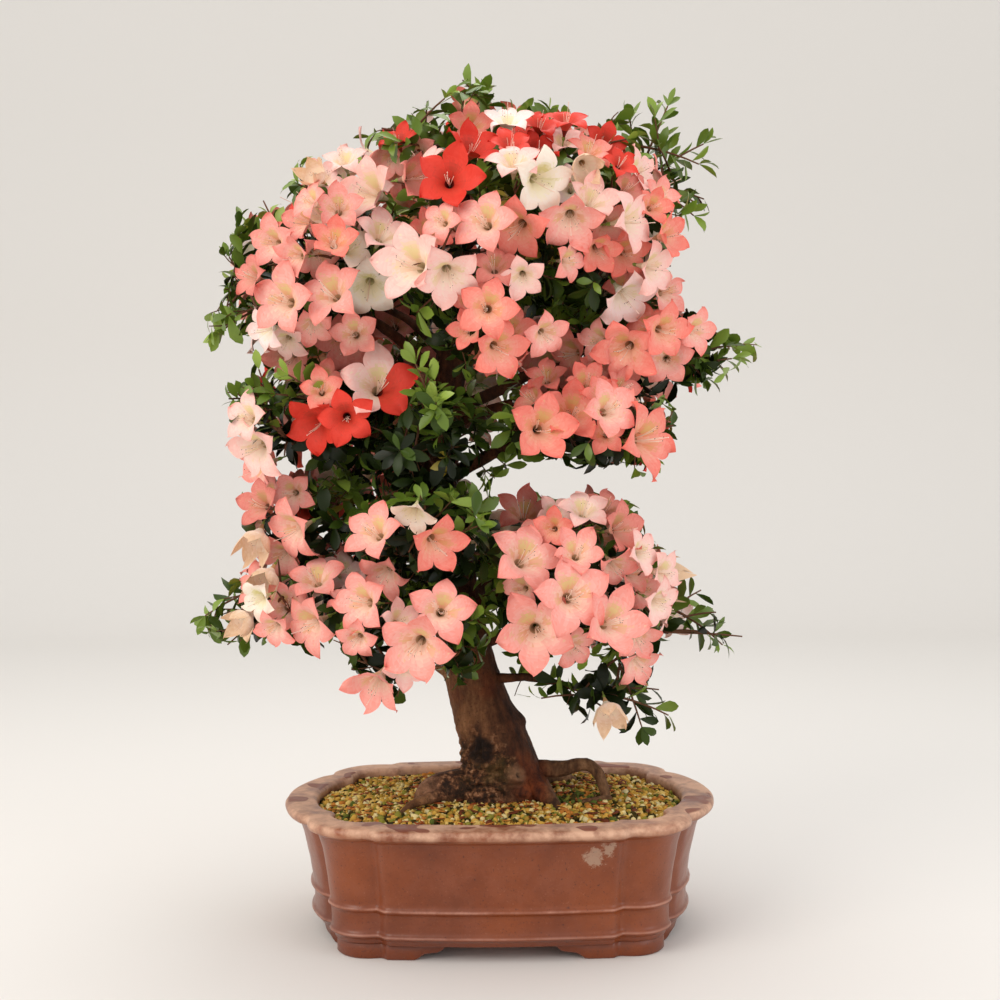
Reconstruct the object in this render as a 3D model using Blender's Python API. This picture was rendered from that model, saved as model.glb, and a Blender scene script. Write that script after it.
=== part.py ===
"""Azalea bonsai in bloom: a whole plant in an unglazed four-lobed pot, as separate solids.

Metres, Z up, -Y to the front. Everything is laid out about the pot's centre, at X = Y = 0 on the plane
that the pot's feet stand on. At the end the whole plant is moved so that the bottom centre of its own box
is the origin.
"""

import math
from collections import namedtuple

import bmesh
import bpy
import numpy as np
from mathutils.bvhtree import BVHTree

SEED = 411
GAP = 0.0003
SMOOTH_BELOW = 50

# The pot, a long four-lobed tray with a rolled lip, two raised bands and four bracket feet
POT_HALF_WIDTH = 0.200
POT_HALF_DEPTH = 0.149
POT_HEIGHT = 0.1210
STEP_X = 0.108
NOTCH_X, NOTCH_Y = 0.171, 0.089
# How far the step and the notch move in as the plan is drawn in, as shares of the inset
STEP_DRAW = 0.30
NOTCH_DRAW_X, NOTCH_DRAW_Y = 0.75, 0.60
PANEL_RISE = 0.006
CORNER_RISE = 0.014
PANEL_PARTS, CORNER_PARTS, END_PARTS = 4, 4, 6
FLOOR_BOTTOM = 0.0140
FLOOR_TOP = 0.0240
FOOT_INSET = 0.0326
FOOT_THICKNESS = 0.0150
FOOT_REACH_FRONT = 0.047
FOOT_REACH_END = 0.040
FOOT_TOP = (FLOOR_BOTTOM + FLOOR_TOP) / 2
# Height above the floor plane of the foot's lower edge, by the distance from the foot's own end
FOOT_SCROLL = ((0.000, 0.0125), (0.006, 0.0065), (0.022, 0.0045), (0.028, 0.0))
# Outside of the pot from the underside up: height, and inset from the lip's outline
POT_OUTSIDE = (
    (FLOOR_BOTTOM, 0.0310),
    (0.0185, 0.0276),
    (0.0215, 0.0246),
    (0.0275, 0.0244),
    (0.0315, 0.0259),
    (0.0390, 0.0256),
    (0.0425, 0.0230),
    (0.0475, 0.0228),
    (0.0510, 0.0240),
    (0.0680, 0.0220),
    (0.0950, 0.0166),
    (0.1070, 0.0125),
    (0.1105, 0.0060),
    (0.1125, 0.0012),
    (0.1165, 0.0000),
    (0.1200, 0.0024),
)
# Over the lip and down the inside
POT_INSIDE = ((POT_HEIGHT, 0.0090), (POT_HEIGHT, 0.0265), (0.1185, 0.0298), (FLOOR_TOP, 0.0345))

# The soil, mounded up to the trunk
SOIL_TOP = 0.1205
SOIL_EDGE = 0.1125
SOIL_CROWN_RADIUS = 0.064
SOIL_SHOULDER_OUT, SOIL_SHOULDER_UP = 0.45, 0.75
SOIL_WALL_INSET = 0.0301
SOIL_FLOOR_INSET = 0.0349
SOIL_ROOM_FROM = 0.08

# The trunk from the soil up: X, Y, height and diameter where it bends or swells
TRUNK_FOOT = SOIL_TOP + GAP
TRUNK = (
    (0.006, 0.000, TRUNK_FOOT, 0.080),
    (0.004, 0.000, 0.145, 0.074),
    (-0.002, 0.002, 0.172, 0.067),
    (-0.018, 0.004, 0.208, 0.057),
    (-0.029, 0.004, 0.245, 0.051),
    (-0.040, 0.000, 0.300, 0.047),
    (-0.047, -0.004, 0.345, 0.044),
    (-0.056, -0.004, 0.405, 0.043),
    (-0.050, 0.000, 0.455, 0.032),
    (-0.042, 0.006, 0.526, 0.028),
    (-0.036, 0.002, 0.600, 0.022),
    (-0.028, -0.003, 0.655, 0.015),
    (-0.030, -0.008, 0.692, 0.010),
)
TRUNK_SIDES = 10
TRUNK_STEPS = 2
# Root flare: how far each buttress swells, the height over which it fades, and where each points
FLARE_SWELL = 0.24
FLARE_HEIGHT = 0.050
FLARE_DIRECTIONS = (-168, -118, -18, 62, 138)
FLARE_WIDTH = 22

# Limbs that leave the trunk
LIMB_SIDES = 6
LIMB_PART = 0.028
LIMB_LIFT = 0.16
LIMB_CLEARANCE = 0.0022

# Surface roots: start, point that the arch leans to, end, and diameters at both ends
ROOTS = {
    "surface_root_right": (
        (0.026, -0.006, 0.134), (0.084, -0.014, 0.176), (0.104, -0.028, 0.110), 0.019, 0.009,
    ),
    "surface_root_left": (
        (-0.012, -0.010, 0.136), (-0.052, -0.034, 0.142), (-0.078, -0.042, 0.113), 0.018, 0.008,
    ),
}

# Foliage: the space of each mass (centre and half-sizes), how many tips it has, what share of them bloom,
# how high its bough leaves the trunk, and the bough's diameters at the trunk and at the mass
Mass = namedtuple("Mass", "centre half tips bloom_share height thick thin")
MASSES = {
    "apex": Mass((-0.040, -0.015, 0.738), (0.100, 0.088, 0.056), 9, 0.30, None, 0.010, 0.010),
    "top_right": Mass((0.068, -0.008, 0.712), (0.080, 0.088, 0.058), 10, 0.50, 0.628, 0.012, 0.008),
    "top_right_spray": Mass((0.157, 0.010, 0.706), (0.062, 0.058, 0.076), 7, 0.00, 0.600, 0.011, 0.006),
    "shoulder_left_front": Mass((-0.166, -0.066, 0.612), (0.096, 0.088, 0.096), 10, 0.4, 0.500, 0.014, 0.009),
    "shoulder_left_back": Mass((-0.158, 0.075, 0.622), (0.098, 0.085, 0.096), 8, 0.25, 0.530, 0.013, 0.008),
    "front_upper": Mass((-0.010, -0.108, 0.606), (0.096, 0.075, 0.108), 10, 0.45, 0.545, 0.012, 0.008),
    "shoulder_right_front": Mass((0.094, -0.066, 0.630), (0.082, 0.084, 0.082), 11, 0.4, 0.565, 0.013, 0.008),
    "shoulder_right_back": Mass((0.094, 0.082, 0.632), (0.088, 0.085, 0.095), 9, 0.25, 0.585, 0.012, 0.008),
    "back_upper": Mass((-0.030, 0.125, 0.636), (0.100, 0.075, 0.108), 9, 0.25, 0.560, 0.012, 0.008),
    "mid_right_front": Mass((0.132, -0.036, 0.540), (0.088, 0.080, 0.060), 9, 0.40, 0.470, 0.013, 0.008),
    "mid_right_low": Mass((0.084, -0.074, 0.467), (0.088, 0.074, 0.050), 8, 0.35, 0.408, 0.016, 0.009),
    "mid_right_back": Mass((0.112, 0.088, 0.518), (0.090, 0.084, 0.078), 8, 0.25, 0.455, 0.013, 0.008),
    "mid_left_front": Mass((-0.170, -0.042, 0.474), (0.090, 0.084, 0.062), 7, 0.35, 0.435, 0.012, 0.008),
    "inner_front": Mass((-0.068, -0.080, 0.455), (0.062, 0.058, 0.060), 8, 0.00, 0.412, 0.010, 0.007),
    "back_mid": Mass((-0.105, 0.100, 0.480), (0.100, 0.085, 0.082), 8, 0.25, 0.428, 0.014, 0.009),
    "low_mid_left": Mass((-0.180, -0.010, 0.374), (0.066, 0.074, 0.050), 8, 0.20, 0.385, 0.015, 0.008),
    "low_centre_front": Mass((-0.062, -0.094, 0.364), (0.080, 0.066, 0.046), 7, 0.30, 0.330, 0.013, 0.008),
    "low_left": Mass((-0.180, -0.030, 0.294), (0.096, 0.084, 0.052), 7, 0.30, 0.272, 0.017, 0.009),
    "low_centre_left": Mass((-0.080, -0.108, 0.278), (0.070, 0.066, 0.056), 8, 0.40, 0.246, 0.015, 0.009),
    "low_right_front": Mass((0.072, -0.082, 0.323), (0.092, 0.080, 0.081), 9, 0.40, 0.290, 0.017, 0.010),
    "low_right_outer": Mass((0.160, 0.002, 0.284), (0.064, 0.070, 0.058), 7, 0.10, 0.256, 0.015, 0.008),
    "low_right_under": Mass((0.096, -0.046, 0.226), (0.074, 0.062, 0.046), 8, 0.15, 0.224, 0.012, 0.007),
    "low_back_right": Mass((0.070, 0.090, 0.332), (0.094, 0.082, 0.078), 7, 0.25, 0.300, 0.015, 0.009),
    "low_back_left": Mass((-0.100, 0.095, 0.345), (0.100, 0.082, 0.080), 7, 0.25, 0.312, 0.016, 0.009),
}
# Long shoots that stand out of their mass: the end of each
SHOOTS = {
    "apex": ((-0.028, -0.015, 0.778), (-0.118, -0.018, 0.752), (0.032, 0.010, 0.766)),
    "top_right_spray": ((0.172, 0.012, 0.752), (0.196, 0.010, 0.722)),
    "shoulder_left_front": ((-0.246, -0.040, 0.614), (-0.252, -0.030, 0.556)),
    "shoulder_left_back": ((-0.240, 0.070, 0.640),),
    "mid_right_front": ((0.216, -0.030, 0.530), (0.200, -0.010, 0.556)),
    "mid_left_front": ((-0.246, -0.020, 0.496),),
    "low_left": ((-0.262, -0.030, 0.292), (-0.246, -0.020, 0.268)),
    "low_right_outer": ((0.202, 0.000, 0.266), (0.190, 0.020, 0.312)),
    "low_right_under": ((0.138, -0.040, 0.204),),
}
# The masses that are dense enough to have a core, and how much of the mass it fills, largest tried first
DENSE = (
    "top_right", "shoulder_left_front", "shoulder_left_back", "front_upper", "shoulder_right_front",
    "shoulder_right_back", "back_upper", "mid_right_front", "mid_right_low", "mid_right_back",
    "mid_left_front", "back_mid", "low_centre_front", "low_centre_left", "low_right_front",
    "low_back_right", "low_back_left",
)
CORE_SHARES = (0.50, 0.45, 0.40, 0.35, 0.30)
CORE_SUBDIVISIONS = 2
CORE_THINNEST = 0.05
CORE_UNEVEN = (0.80, 1.12)
CORE_CLEARANCE = 0.0045
CELL_MARGIN = 0.0012
SEAT_DROP = 0.25
ENTRY_FIRST, ENTRY_LAST, ENTRY_STEP = 0.20, 0.92, 0.02
SHELL_INNER = 0.60
TIP_INSET = 0.020
CANDIDATES = 500
TIP_MARGIN = 0.004
NODE_STEP = 0.012
NODE_SHARES = (0.35, 0.65)
SHORTEST_TWIG = 0.012
REACH_COST = 0.35
PARENT_TRIES = 6
BEND_LENGTH = 0.095
BEND_RISE = 0.10
STEM_GAP = 1.2 * GAP
STEM_NECK = 0.008
STEM_SHARE = 0.96
STEM_END = 0.0050
TWIG_START = 0.0036
TWIG_END = 0.0024
TWIG_BACK = 0.0015
TWIG_SIDES = 3

# Leaves, in whorls at the twigs' tips, and blooms
WHORL_LEAVES = 4
SHOOT_LEAVES = 5
LEAF_LENGTH = 0.042
WHORL_CORE = 0.0016
WHORL_SINK = 0.0032
# One leaf's outline: turn from its middle (share of the way to the next leaf), radius and height (shares)
LEAF_OUTLINE = ((-0.5, 0.15, 0.00), (-0.20, 0.56, 0.17), (0.0, 1.00, 0.16), (0.20, 0.56, 0.17))
PETALS = 5
BLOOM_RADIUS = 0.037
BLOOM_THROAT = 0.010
BLOOM_SINK = 0.004
PETAL_OUTLINE = ((-0.5, 0.56, 0.46), (-0.24, 0.93, 0.72), (0.0, 1.00, 0.64), (0.24, 0.93, 0.72))
WHORL_RISE = 0.35
BLOOM_ALONG_TWIG, BLOOM_RISE, BLOOM_LOOKS_FROM = 0.35, 0.15, 0.02
KINDS = {
    "whorl": (LEAF_OUTLINE, LEAF_LENGTH, WHORL_CORE, WHORL_SINK),
    "bloom": (PETAL_OUTLINE, BLOOM_RADIUS, BLOOM_THROAT, BLOOM_SINK),
}
SAMPLE_STEP = 0.006
PLACING_TRIES = 4
SMALLEST_SCALE = 0.72

FIRED_CLAY = (0.330, 0.095, 0.045)
GRIT = (0.420, 0.270, 0.060)
BARK = (0.130, 0.065, 0.038)
LEAF_GREEN = (0.070, 0.160, 0.035)
BLOSSOM_PINK = (0.900, 0.330, 0.260)


def unit(vector):
    """The vector at length one."""
    return np.asarray(vector, float) / max(float(np.linalg.norm(vector)), 1e-12)


def clear_scene():
    """Takes out whatever the file opened with."""
    for thing in list(bpy.data.objects):
        bpy.data.objects.remove(thing)


def material(name, colour, roughness):
    """A plain material of one colour."""
    made = bpy.data.materials.new(name)
    made.use_nodes = True
    shader = made.node_tree.nodes["Principled BSDF"]
    shader.inputs["Base Color"].default_value = (*colour, 1.0)
    shader.inputs["Roughness"].default_value = roughness
    shader.inputs["Metallic"].default_value = 0.0
    return made


def mesh_object(name, points, faces, finish=None):
    """An object from points and faces."""
    mesh = bpy.data.meshes.new(name)
    mesh.from_pydata([tuple(float(value) for value in point) for point in points], [], faces)
    mesh.validate()
    made = bpy.data.objects.new(name, mesh)
    bpy.context.scene.collection.objects.link(made)
    if finish:
        mesh.materials.append(finish)
    return made


def shade_round(thing):
    """Shades the object smooth, apart from its sharp edges."""
    thing.data.shade_smooth()
    thing.data.set_sharp_from_angle(angle=math.radians(SMOOTH_BELOW))


def loft(loops):
    """Points and faces of a closed skin over loops of equal count, with both ends capped."""
    count = len(loops[0])
    points = [point for loop in loops for point in loop]
    faces = [tuple(reversed(range(count)))]
    for step in range(len(loops) - 1):
        low, high = step * count, (step + 1) * count
        for side in range(count):
            after = (side + 1) % count
            faces.append((low + side, low + after, high + after, high + side))
    faces.append(tuple(range(len(points) - count, len(points))))
    return points, faces


def apply_modifiers(thing):
    """Replaces the object's mesh by what its modifiers make of it."""
    graph = bpy.context.evaluated_depsgraph_get()
    made = bpy.data.meshes.new_from_object(thing.evaluated_get(graph))
    thing.modifiers.clear()
    thing.data = made


def unite(base, others):
    """Fuses the other objects into the base by one Boolean on a collection, then removes them."""
    group = bpy.data.collections.new(base.name + "_pieces")
    bpy.context.scene.collection.children.link(group)
    for other in others:
        bpy.context.scene.collection.objects.unlink(other)
        group.objects.link(other)
    union = base.modifiers.new("union", "BOOLEAN")
    union.operation = "UNION"
    union.operand_type = "COLLECTION"
    union.collection = group
    union.solver = "EXACT"
    union.material_mode = "TRANSFER"
    apply_modifiers(base)
    for other in others:
        bpy.data.objects.remove(other)
    bpy.data.collections.remove(group)


def cut(base, cutters):
    """Cuts the base clear of each cutter."""
    for cutter in cutters:
        cutter.hide_render = True
        cutter.display_type = "WIRE"
        difference = base.modifiers.new("clear_of_" + cutter.name, "BOOLEAN")
        difference.operation = "DIFFERENCE"
        difference.object = cutter
        difference.solver = "EXACT"
    apply_modifiers(base)


def islands(mesh):
    """Lists of the vertices of each connected piece, and each piece's volume."""
    parent = list(range(len(mesh.vertices)))

    def root(index):
        while parent[index] != index:
            parent[index] = parent[parent[index]]
            index = parent[index]
        return index

    for edge in mesh.edges:
        first, second = (root(index) for index in edge.vertices)
        parent[first] = second
    roots = [root(index) for index in range(len(parent))]
    mesh.calc_loop_triangles()
    volume = dict.fromkeys(roots, 0.0)
    place = np.array([vertex.co for vertex in mesh.vertices], float)
    for triangle in mesh.loop_triangles:
        a, b, c = place[list(triangle.vertices)]
        volume[roots[triangle.vertices[0]]] += float(np.dot(a, np.cross(b, c))) / 6
    return roots, volume


def keep_main_body(thing):
    """Fills hollows that fusing sealed and drops loose scraps: only the largest piece stays."""
    mesh = thing.data
    roots, volume = islands(mesh)
    main = max(volume, key=volume.get)
    if len(volume) == 1:
        return
    kept = [polygon for polygon in mesh.polygons if roots[polygon.vertices[0]] == main]
    place = {index: at for at, index in enumerate(i for i, name in enumerate(roots) if name == main)}
    points = [mesh.vertices[index].co[:] for index in place]
    faces = [tuple(place[index] for index in polygon.vertices) for polygon in kept]
    fresh = bpy.data.meshes.new(mesh.name)
    fresh.from_pydata(points, [], faces)
    for finish in mesh.materials:
        fresh.materials.append(finish)
    fresh.polygons.foreach_set("material_index", [polygon.material_index for polygon in kept])
    thing.data = fresh


# The pot
def arc(start, end, rise, parts):
    """Points from start up to the one before end, on an arc that bulges out by rise."""
    start, end = np.array(start, float), np.array(end, float)
    chord = end - start
    half = np.linalg.norm(chord) / 2
    outward = np.array([chord[1], -chord[0]]) / (2 * half)
    radius = (half * half + rise * rise) / (2 * rise)
    centre = (start + end) / 2 - outward * (radius - rise)
    reach = math.asin(half / radius)
    along = chord / (2 * half)
    turns = [-reach + 2 * reach * part / parts for part in range(parts)]
    return [centre + radius * (math.cos(turn) * outward + math.sin(turn) * along) for turn in turns]


def pot_outline(inset):
    """The pot's four-lobed plan, drawn in by inset from the lip."""
    step_x = STEP_X - STEP_DRAW * inset
    step_y = POT_HALF_DEPTH - PANEL_RISE - inset
    notch_x = NOTCH_X - NOTCH_DRAW_X * inset
    notch_y = NOTCH_Y - NOTCH_DRAW_Y * inset
    end_rise = POT_HALF_WIDTH - inset - notch_x
    corners = (
        ((-step_x, -step_y), PANEL_RISE, PANEL_PARTS),
        ((step_x, -step_y), CORNER_RISE, CORNER_PARTS),
        ((notch_x, -notch_y), end_rise, END_PARTS),
        ((notch_x, notch_y), CORNER_RISE, CORNER_PARTS),
        ((step_x, step_y), PANEL_RISE, PANEL_PARTS),
        ((-step_x, step_y), CORNER_RISE, CORNER_PARTS),
        ((-notch_x, notch_y), end_rise, END_PARTS),
        ((-notch_x, -notch_y), CORNER_RISE, CORNER_PARTS),
    )
    outline = []
    for index, (start, rise, parts) in enumerate(corners):
        end = corners[(index + 1) % len(corners)][0]
        outline += arc(start, end, rise, parts)
    return outline


def level(outline, height):
    return [(point[0], point[1], height) for point in outline]


def foot_path(inset):
    """The stretch of the plan that the front right foot follows, and how far along it each point lies."""
    outline = pot_outline(inset)
    corner = outline[PANEL_PARTS : PANEL_PARTS + CORNER_PARTS + END_PARTS]
    path = [point for point in corner if point[1] < -FOOT_REACH_END]
    front = np.array([FOOT_REACH_FRONT, path[0][1] - PANEL_RISE / 2])
    path = np.array([front, *path])
    gone = np.concatenate([[0.0], np.cumsum(np.linalg.norm(np.diff(path, axis=0), axis=1))])
    return path, gone


def point_along(path, gone, distance):
    return [float(np.interp(distance, gone, path[:, axis])) for axis in (0, 1)]


def make_foot(name, flip_x, flip_y):
    """One bracket foot: a strip under the corner lobe with scrolled ends."""
    outer, gone = foot_path(FOOT_INSET)
    inner, inner_gone = foot_path(FOOT_INSET + FOOT_THICKNESS)
    ends = [mark for mark, _ in FOOT_SCROLL]
    marks = sorted({*gone, *ends, *(gone[-1] - mark for mark in ends)})
    loops = []
    for mark in marks:
        low = np.interp(min(mark, gone[-1] - mark), *zip(*FOOT_SCROLL))
        out = point_along(outer, gone, mark)
        back = point_along(inner, inner_gone, mark / gone[-1] * inner_gone[-1])
        ring = [(*out, low), (*out, FOOT_TOP), (*back, FOOT_TOP), (*back, low)]
        loops.append([(flip_x * x, flip_y * y, z) for x, y, z in ring])
    points, faces = loft(loops)
    if flip_x * flip_y > 0:
        faces = [tuple(reversed(face)) for face in faces]
    return mesh_object(name, points, faces)


def make_pot(finish):
    """Wall, floor, lip and bands in one turned-over skin, with the four feet fused on."""
    loops = [level(pot_outline(inset), height) for height, inset in POT_OUTSIDE + POT_INSIDE]
    pot = mesh_object("pot", *loft(loops), finish)
    signs = ((1, 1), (-1, 1), (1, -1), (-1, -1))
    feet = [make_foot(f"foot_{index}", *sign) for index, sign in enumerate(signs)]
    unite(pot, feet)
    shade_round(pot)
    return pot


def make_soil(finish):
    """Soil that fills the pot and rises to a flat crown under the trunk."""
    wall = pot_outline(SOIL_WALL_INSET + GAP)
    middle = np.array(TRUNK[0][:2])
    crown = []
    for point in wall:
        turn = math.atan2(point[1] - middle[1], point[0] - middle[0])
        crown.append(middle + SOIL_CROWN_RADIUS * np.array([math.cos(turn), math.sin(turn)]))
    shoulder = [top + SOIL_SHOULDER_OUT * (edge - top) for edge, top in zip(wall, crown)]
    loops = [
        level(pot_outline(SOIL_FLOOR_INSET + GAP), FLOOR_TOP + GAP),
        level(wall, SOIL_EDGE),
        level(shoulder, SOIL_EDGE + SOIL_SHOULDER_UP * (SOIL_TOP - SOIL_EDGE)),
        level(crown, SOIL_TOP),
    ]
    return mesh_object("soil", *loft(loops), finish)


# The trunk and the limbs
def smooth_stations(stations, steps):
    """A smooth run through the stations, with this many steps from one to the next."""
    rows = [np.array(station, float) for station in stations]
    rows = [2 * rows[0] - rows[1], *rows, 2 * rows[-1] - rows[-2]]
    run = []
    for before, start, end, after in zip(rows, rows[1:], rows[2:], rows[3:]):
        for step in range(steps):
            t = step / steps
            bend = 2 * before - 5 * start + 4 * end - after
            turn = 3 * start - before - 3 * end + after
            run.append(start + 0.5 * t * ((end - before) + t * (bend + t * turn)))
    return run + [rows[-2]]


def flare_fade(height):
    return max(0.0, 1 - (height - TRUNK_FOOT) / FLARE_HEIGHT) ** 2


def flare(turn, height):
    """How much wider the trunk is than its round at this turn, near the soil."""
    swell = 0.0
    for direction in FLARE_DIRECTIONS:
        apart = (math.degrees(turn) - direction + 180) % 360 - 180
        swell += math.exp(-((apart / FLARE_WIDTH) ** 2))
    return 1 + FLARE_SWELL * flare_fade(height) * swell


def trunk_rings(grown):
    """Level rings up the trunk, each wider by grown."""
    rings = []
    for x, y, height, diameter in smooth_stations(TRUNK, TRUNK_STEPS):
        ring = []
        for side in range(TRUNK_SIDES):
            turn = 2 * math.pi * side / TRUNK_SIDES
            radius = diameter / 2 * flare(turn, height) + grown
            ring.append((x + radius * math.cos(turn), y + radius * math.sin(turn), height))
        rings.append(ring)
    return rings


def trunk_at(height):
    """The trunk's middle at a height."""
    rows = np.array(smooth_stations(TRUNK, TRUNK_STEPS))
    x, y = (np.interp(height, rows[:, 2], rows[:, axis]) for axis in (0, 1))
    return np.array([x, y, height])


def across(heading):
    """Two directions square to the heading and to each other."""
    helper = np.array([0.0, 0.0, 1.0]) if abs(heading[2]) < 0.9 else np.array([1.0, 0.0, 0.0])
    side = unit(np.cross(helper, heading))
    return side, np.cross(heading, side)


def tube(points, radii, sides):
    """Points and faces of a tapering limb along a path, flat at both ends."""
    points = [np.asarray(point, float) for point in points]
    side, up = across(unit(points[1] - points[0]))
    loops = []
    for index, point in enumerate(points):
        before, after = points[max(index - 1, 0)], points[min(index + 1, len(points) - 1)]
        heading = unit(after - before)
        side = unit(side - heading * np.dot(side, heading))
        up = np.cross(heading, side)
        turns = [2 * math.pi * turn / sides for turn in range(sides)]
        loops.append([point + radii[index] * (math.cos(turn) * side + math.sin(turn) * up) for turn in turns])
    return loft(loops)


# The space of each mass
def size_squared(name):
    return math.prod(MASSES[name].half) ** (2 / 3)


def cell_planes(name):
    """The planes between this mass's space and every other's: outward directions and offsets."""
    centre = np.array(MASSES[name].centre)
    directions, offsets = [], []
    for other, row in MASSES.items():
        if other != name:
            there = np.array(row.centre)
            apart = np.linalg.norm(there - centre)
            directions.append((there - centre) / apart)
            balance = there @ there - centre @ centre + size_squared(name) - size_squared(other)
            offsets.append(balance / (2 * apart))
    return np.array(directions), np.array(offsets)


class Space:
    """The room that one mass keeps to: its own rounded form, inside the planes to its neighbours."""

    def __init__(self, name):
        self.centre, self.half = np.array(MASSES[name].centre), np.array(MASSES[name].half)
        self.directions, self.offsets = cell_planes(name)

    def between_planes(self, points, margin=CELL_MARGIN):
        return bool((np.atleast_2d(points) @ self.directions.T <= self.offsets - margin).all())

    def holds(self, points, margin=CELL_MARGIN):
        away = (np.atleast_2d(points) - self.centre) / self.half
        return bool((np.linalg.norm(away, axis=1) <= 1).all()) and self.between_planes(points, margin)


class Limbs:
    """Every limb as a chain of round pieces, to keep twigs, leaves and blooms off them."""

    def __init__(self):
        self.starts, self.ends, self.radii = [], [], []

    def add(self, points, radii):
        for index in range(len(points) - 1):
            self.starts.append(points[index])
            self.ends.append(points[index + 1])
            self.radii.append(max(radii[index], radii[index + 1]))

    def clear(self, points, margin=LIMB_CLEARANCE):
        """Whether every point is outside every limb by the margin."""
        starts, runs = np.array(self.starts), np.array(self.ends) - np.array(self.starts)
        points = np.atleast_2d(points)
        away = points[:, None, :] - starts[None]
        share = np.clip((away * runs).sum(2) / (runs * runs).sum(1), 0, 1)
        gap = np.linalg.norm(away - share[..., None] * runs[None], axis=2) - np.array(self.radii)
        return bool((gap > margin).all())


def between(first, second, step):
    """Points along a straight line, at most a step apart."""
    count = max(2, int(np.linalg.norm(second - first) / step) + 2)
    return np.array(first) + np.linspace(0, 1, count)[:, None] * (np.array(second) - np.array(first))


def on_curve(start, control, end, share):
    """A point on the plain curve from start to end that leans to the control."""
    return (1 - share) ** 2 * start + 2 * share * (1 - share) * control + share * share * end


def curve_points(start, control, end, share_from, share_to):
    """Points on that curve, between two shares of it."""
    length = np.linalg.norm(end - start)
    parts = max(2, round(length * (share_to - share_from) / LIMB_PART))
    return [on_curve(start, control, end, share) for share in np.linspace(share_from, share_to, parts + 1)]


def way_to_mass(name):
    """The curve that carries a mass: from the trunk's middle to the seat of the mass."""
    mass = MASSES[name]
    seat = np.array(mass.centre) - np.array([0, 0, SEAT_DROP * mass.half[2]])
    if mass.height is None:
        start = np.array(TRUNK[-1][:3])
        return start, (start + seat) / 2, seat
    start = trunk_at(mass.height)
    return start, (start + seat) / 2 + np.array([0, 0, LIMB_LIFT * np.linalg.norm(seat - start)]), seat


def entry_share(name):
    """How far along its curve the bough has just come into the space of its mass."""
    space = Space(name)
    keep = MASSES[name].thin / 2 + CELL_MARGIN
    shares = np.arange(ENTRY_FIRST, ENTRY_LAST, ENTRY_STEP)
    inside = [share for share in shares if space.holds(on_curve(*way_to_mass(name), share), keep)]
    return float(inside[0]) if inside else ENTRY_LAST


def root_path(name):
    """The path and radii of a surface root."""
    first, top, last, thick, thin = ROOTS[name]
    path = curve_points(np.array(first), np.array(top), np.array(last), 0, 1)
    return path, np.linspace(thick / 2, thin / 2, len(path))


def stem_path(name, tip, heading, share):
    """The stem of a mass: on from the tip of its bough, a gap clear, to the seat."""
    path = [tip + STEM_GAP * heading, tip + STEM_NECK * heading]
    ahead = curve_points(*way_to_mass(name), share, 1.0)
    path += [point for point in ahead if np.dot(point - path[-1], heading) > STEM_NECK / 2]
    return path, np.linspace(STEM_SHARE * MASSES[name].thin / 2, STEM_END / 2, len(path))


def plan_limbs():
    """The path and radii of every bough and of the stem that carries on from it, and all limbs together."""
    limbs = Limbs()
    rows = np.array(smooth_stations(TRUNK, TRUNK_STEPS))
    limbs.add(rows[:, :3], rows[:, 3] / 2 * [1 + FLARE_SWELL * flare_fade(z) for z in rows[:, 2]])
    boughs, stems = {}, {}
    for name, mass in MASSES.items():
        tip, heading, share = np.array(TRUNK[-1][:3]), np.array([0.0, 0.0, 1.0]), 0.0
        if mass.height is not None:
            share = entry_share(name)
            path = curve_points(*way_to_mass(name), 0.0, share)
            boughs[name] = path, np.linspace(mass.thick / 2, mass.thin / 2, len(path))
            limbs.add(*boughs[name])
            tip, heading = path[-1], unit(path[-1] - path[-2])
        stems[name] = stem_path(name, tip, heading, share)
    for name in ROOTS:
        limbs.add(*root_path(name))
    return limbs, boughs, stems


def make_limb(name, path, radii, finish, cutters):
    """A tapering limb, cut clear of what it grows from or into."""
    limb = mesh_object(name, *tube(path, radii, LIMB_SIDES), finish)
    cut(limb, cutters)
    keep_main_body(limb)
    shade_round(limb)
    return limb


# The foliage
def spread_tips(space, count, seeded):
    """Places for the tips: in the outer part of the space, as far from each other as they can be."""
    away = seeded.normal(size=(CANDIDATES, 3))
    away /= np.linalg.norm(away, axis=1)[:, None]
    reach = seeded.uniform(SHELL_INNER, 1.0, CANDIDATES)
    places = space.centre + away * reach[:, None] * (space.half - TIP_INSET)
    places = np.array([place for place in places if space.between_planes(place, TIP_MARGIN)])
    chosen = [places[0]]
    nearest = np.linalg.norm(places - places[0], axis=1)
    while len(chosen) < min(count, len(places)):
        index = int(np.argmax(nearest))
        chosen.append(places[index])
        nearest = np.minimum(nearest, np.linalg.norm(places - places[index], axis=1))
    return chosen


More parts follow.
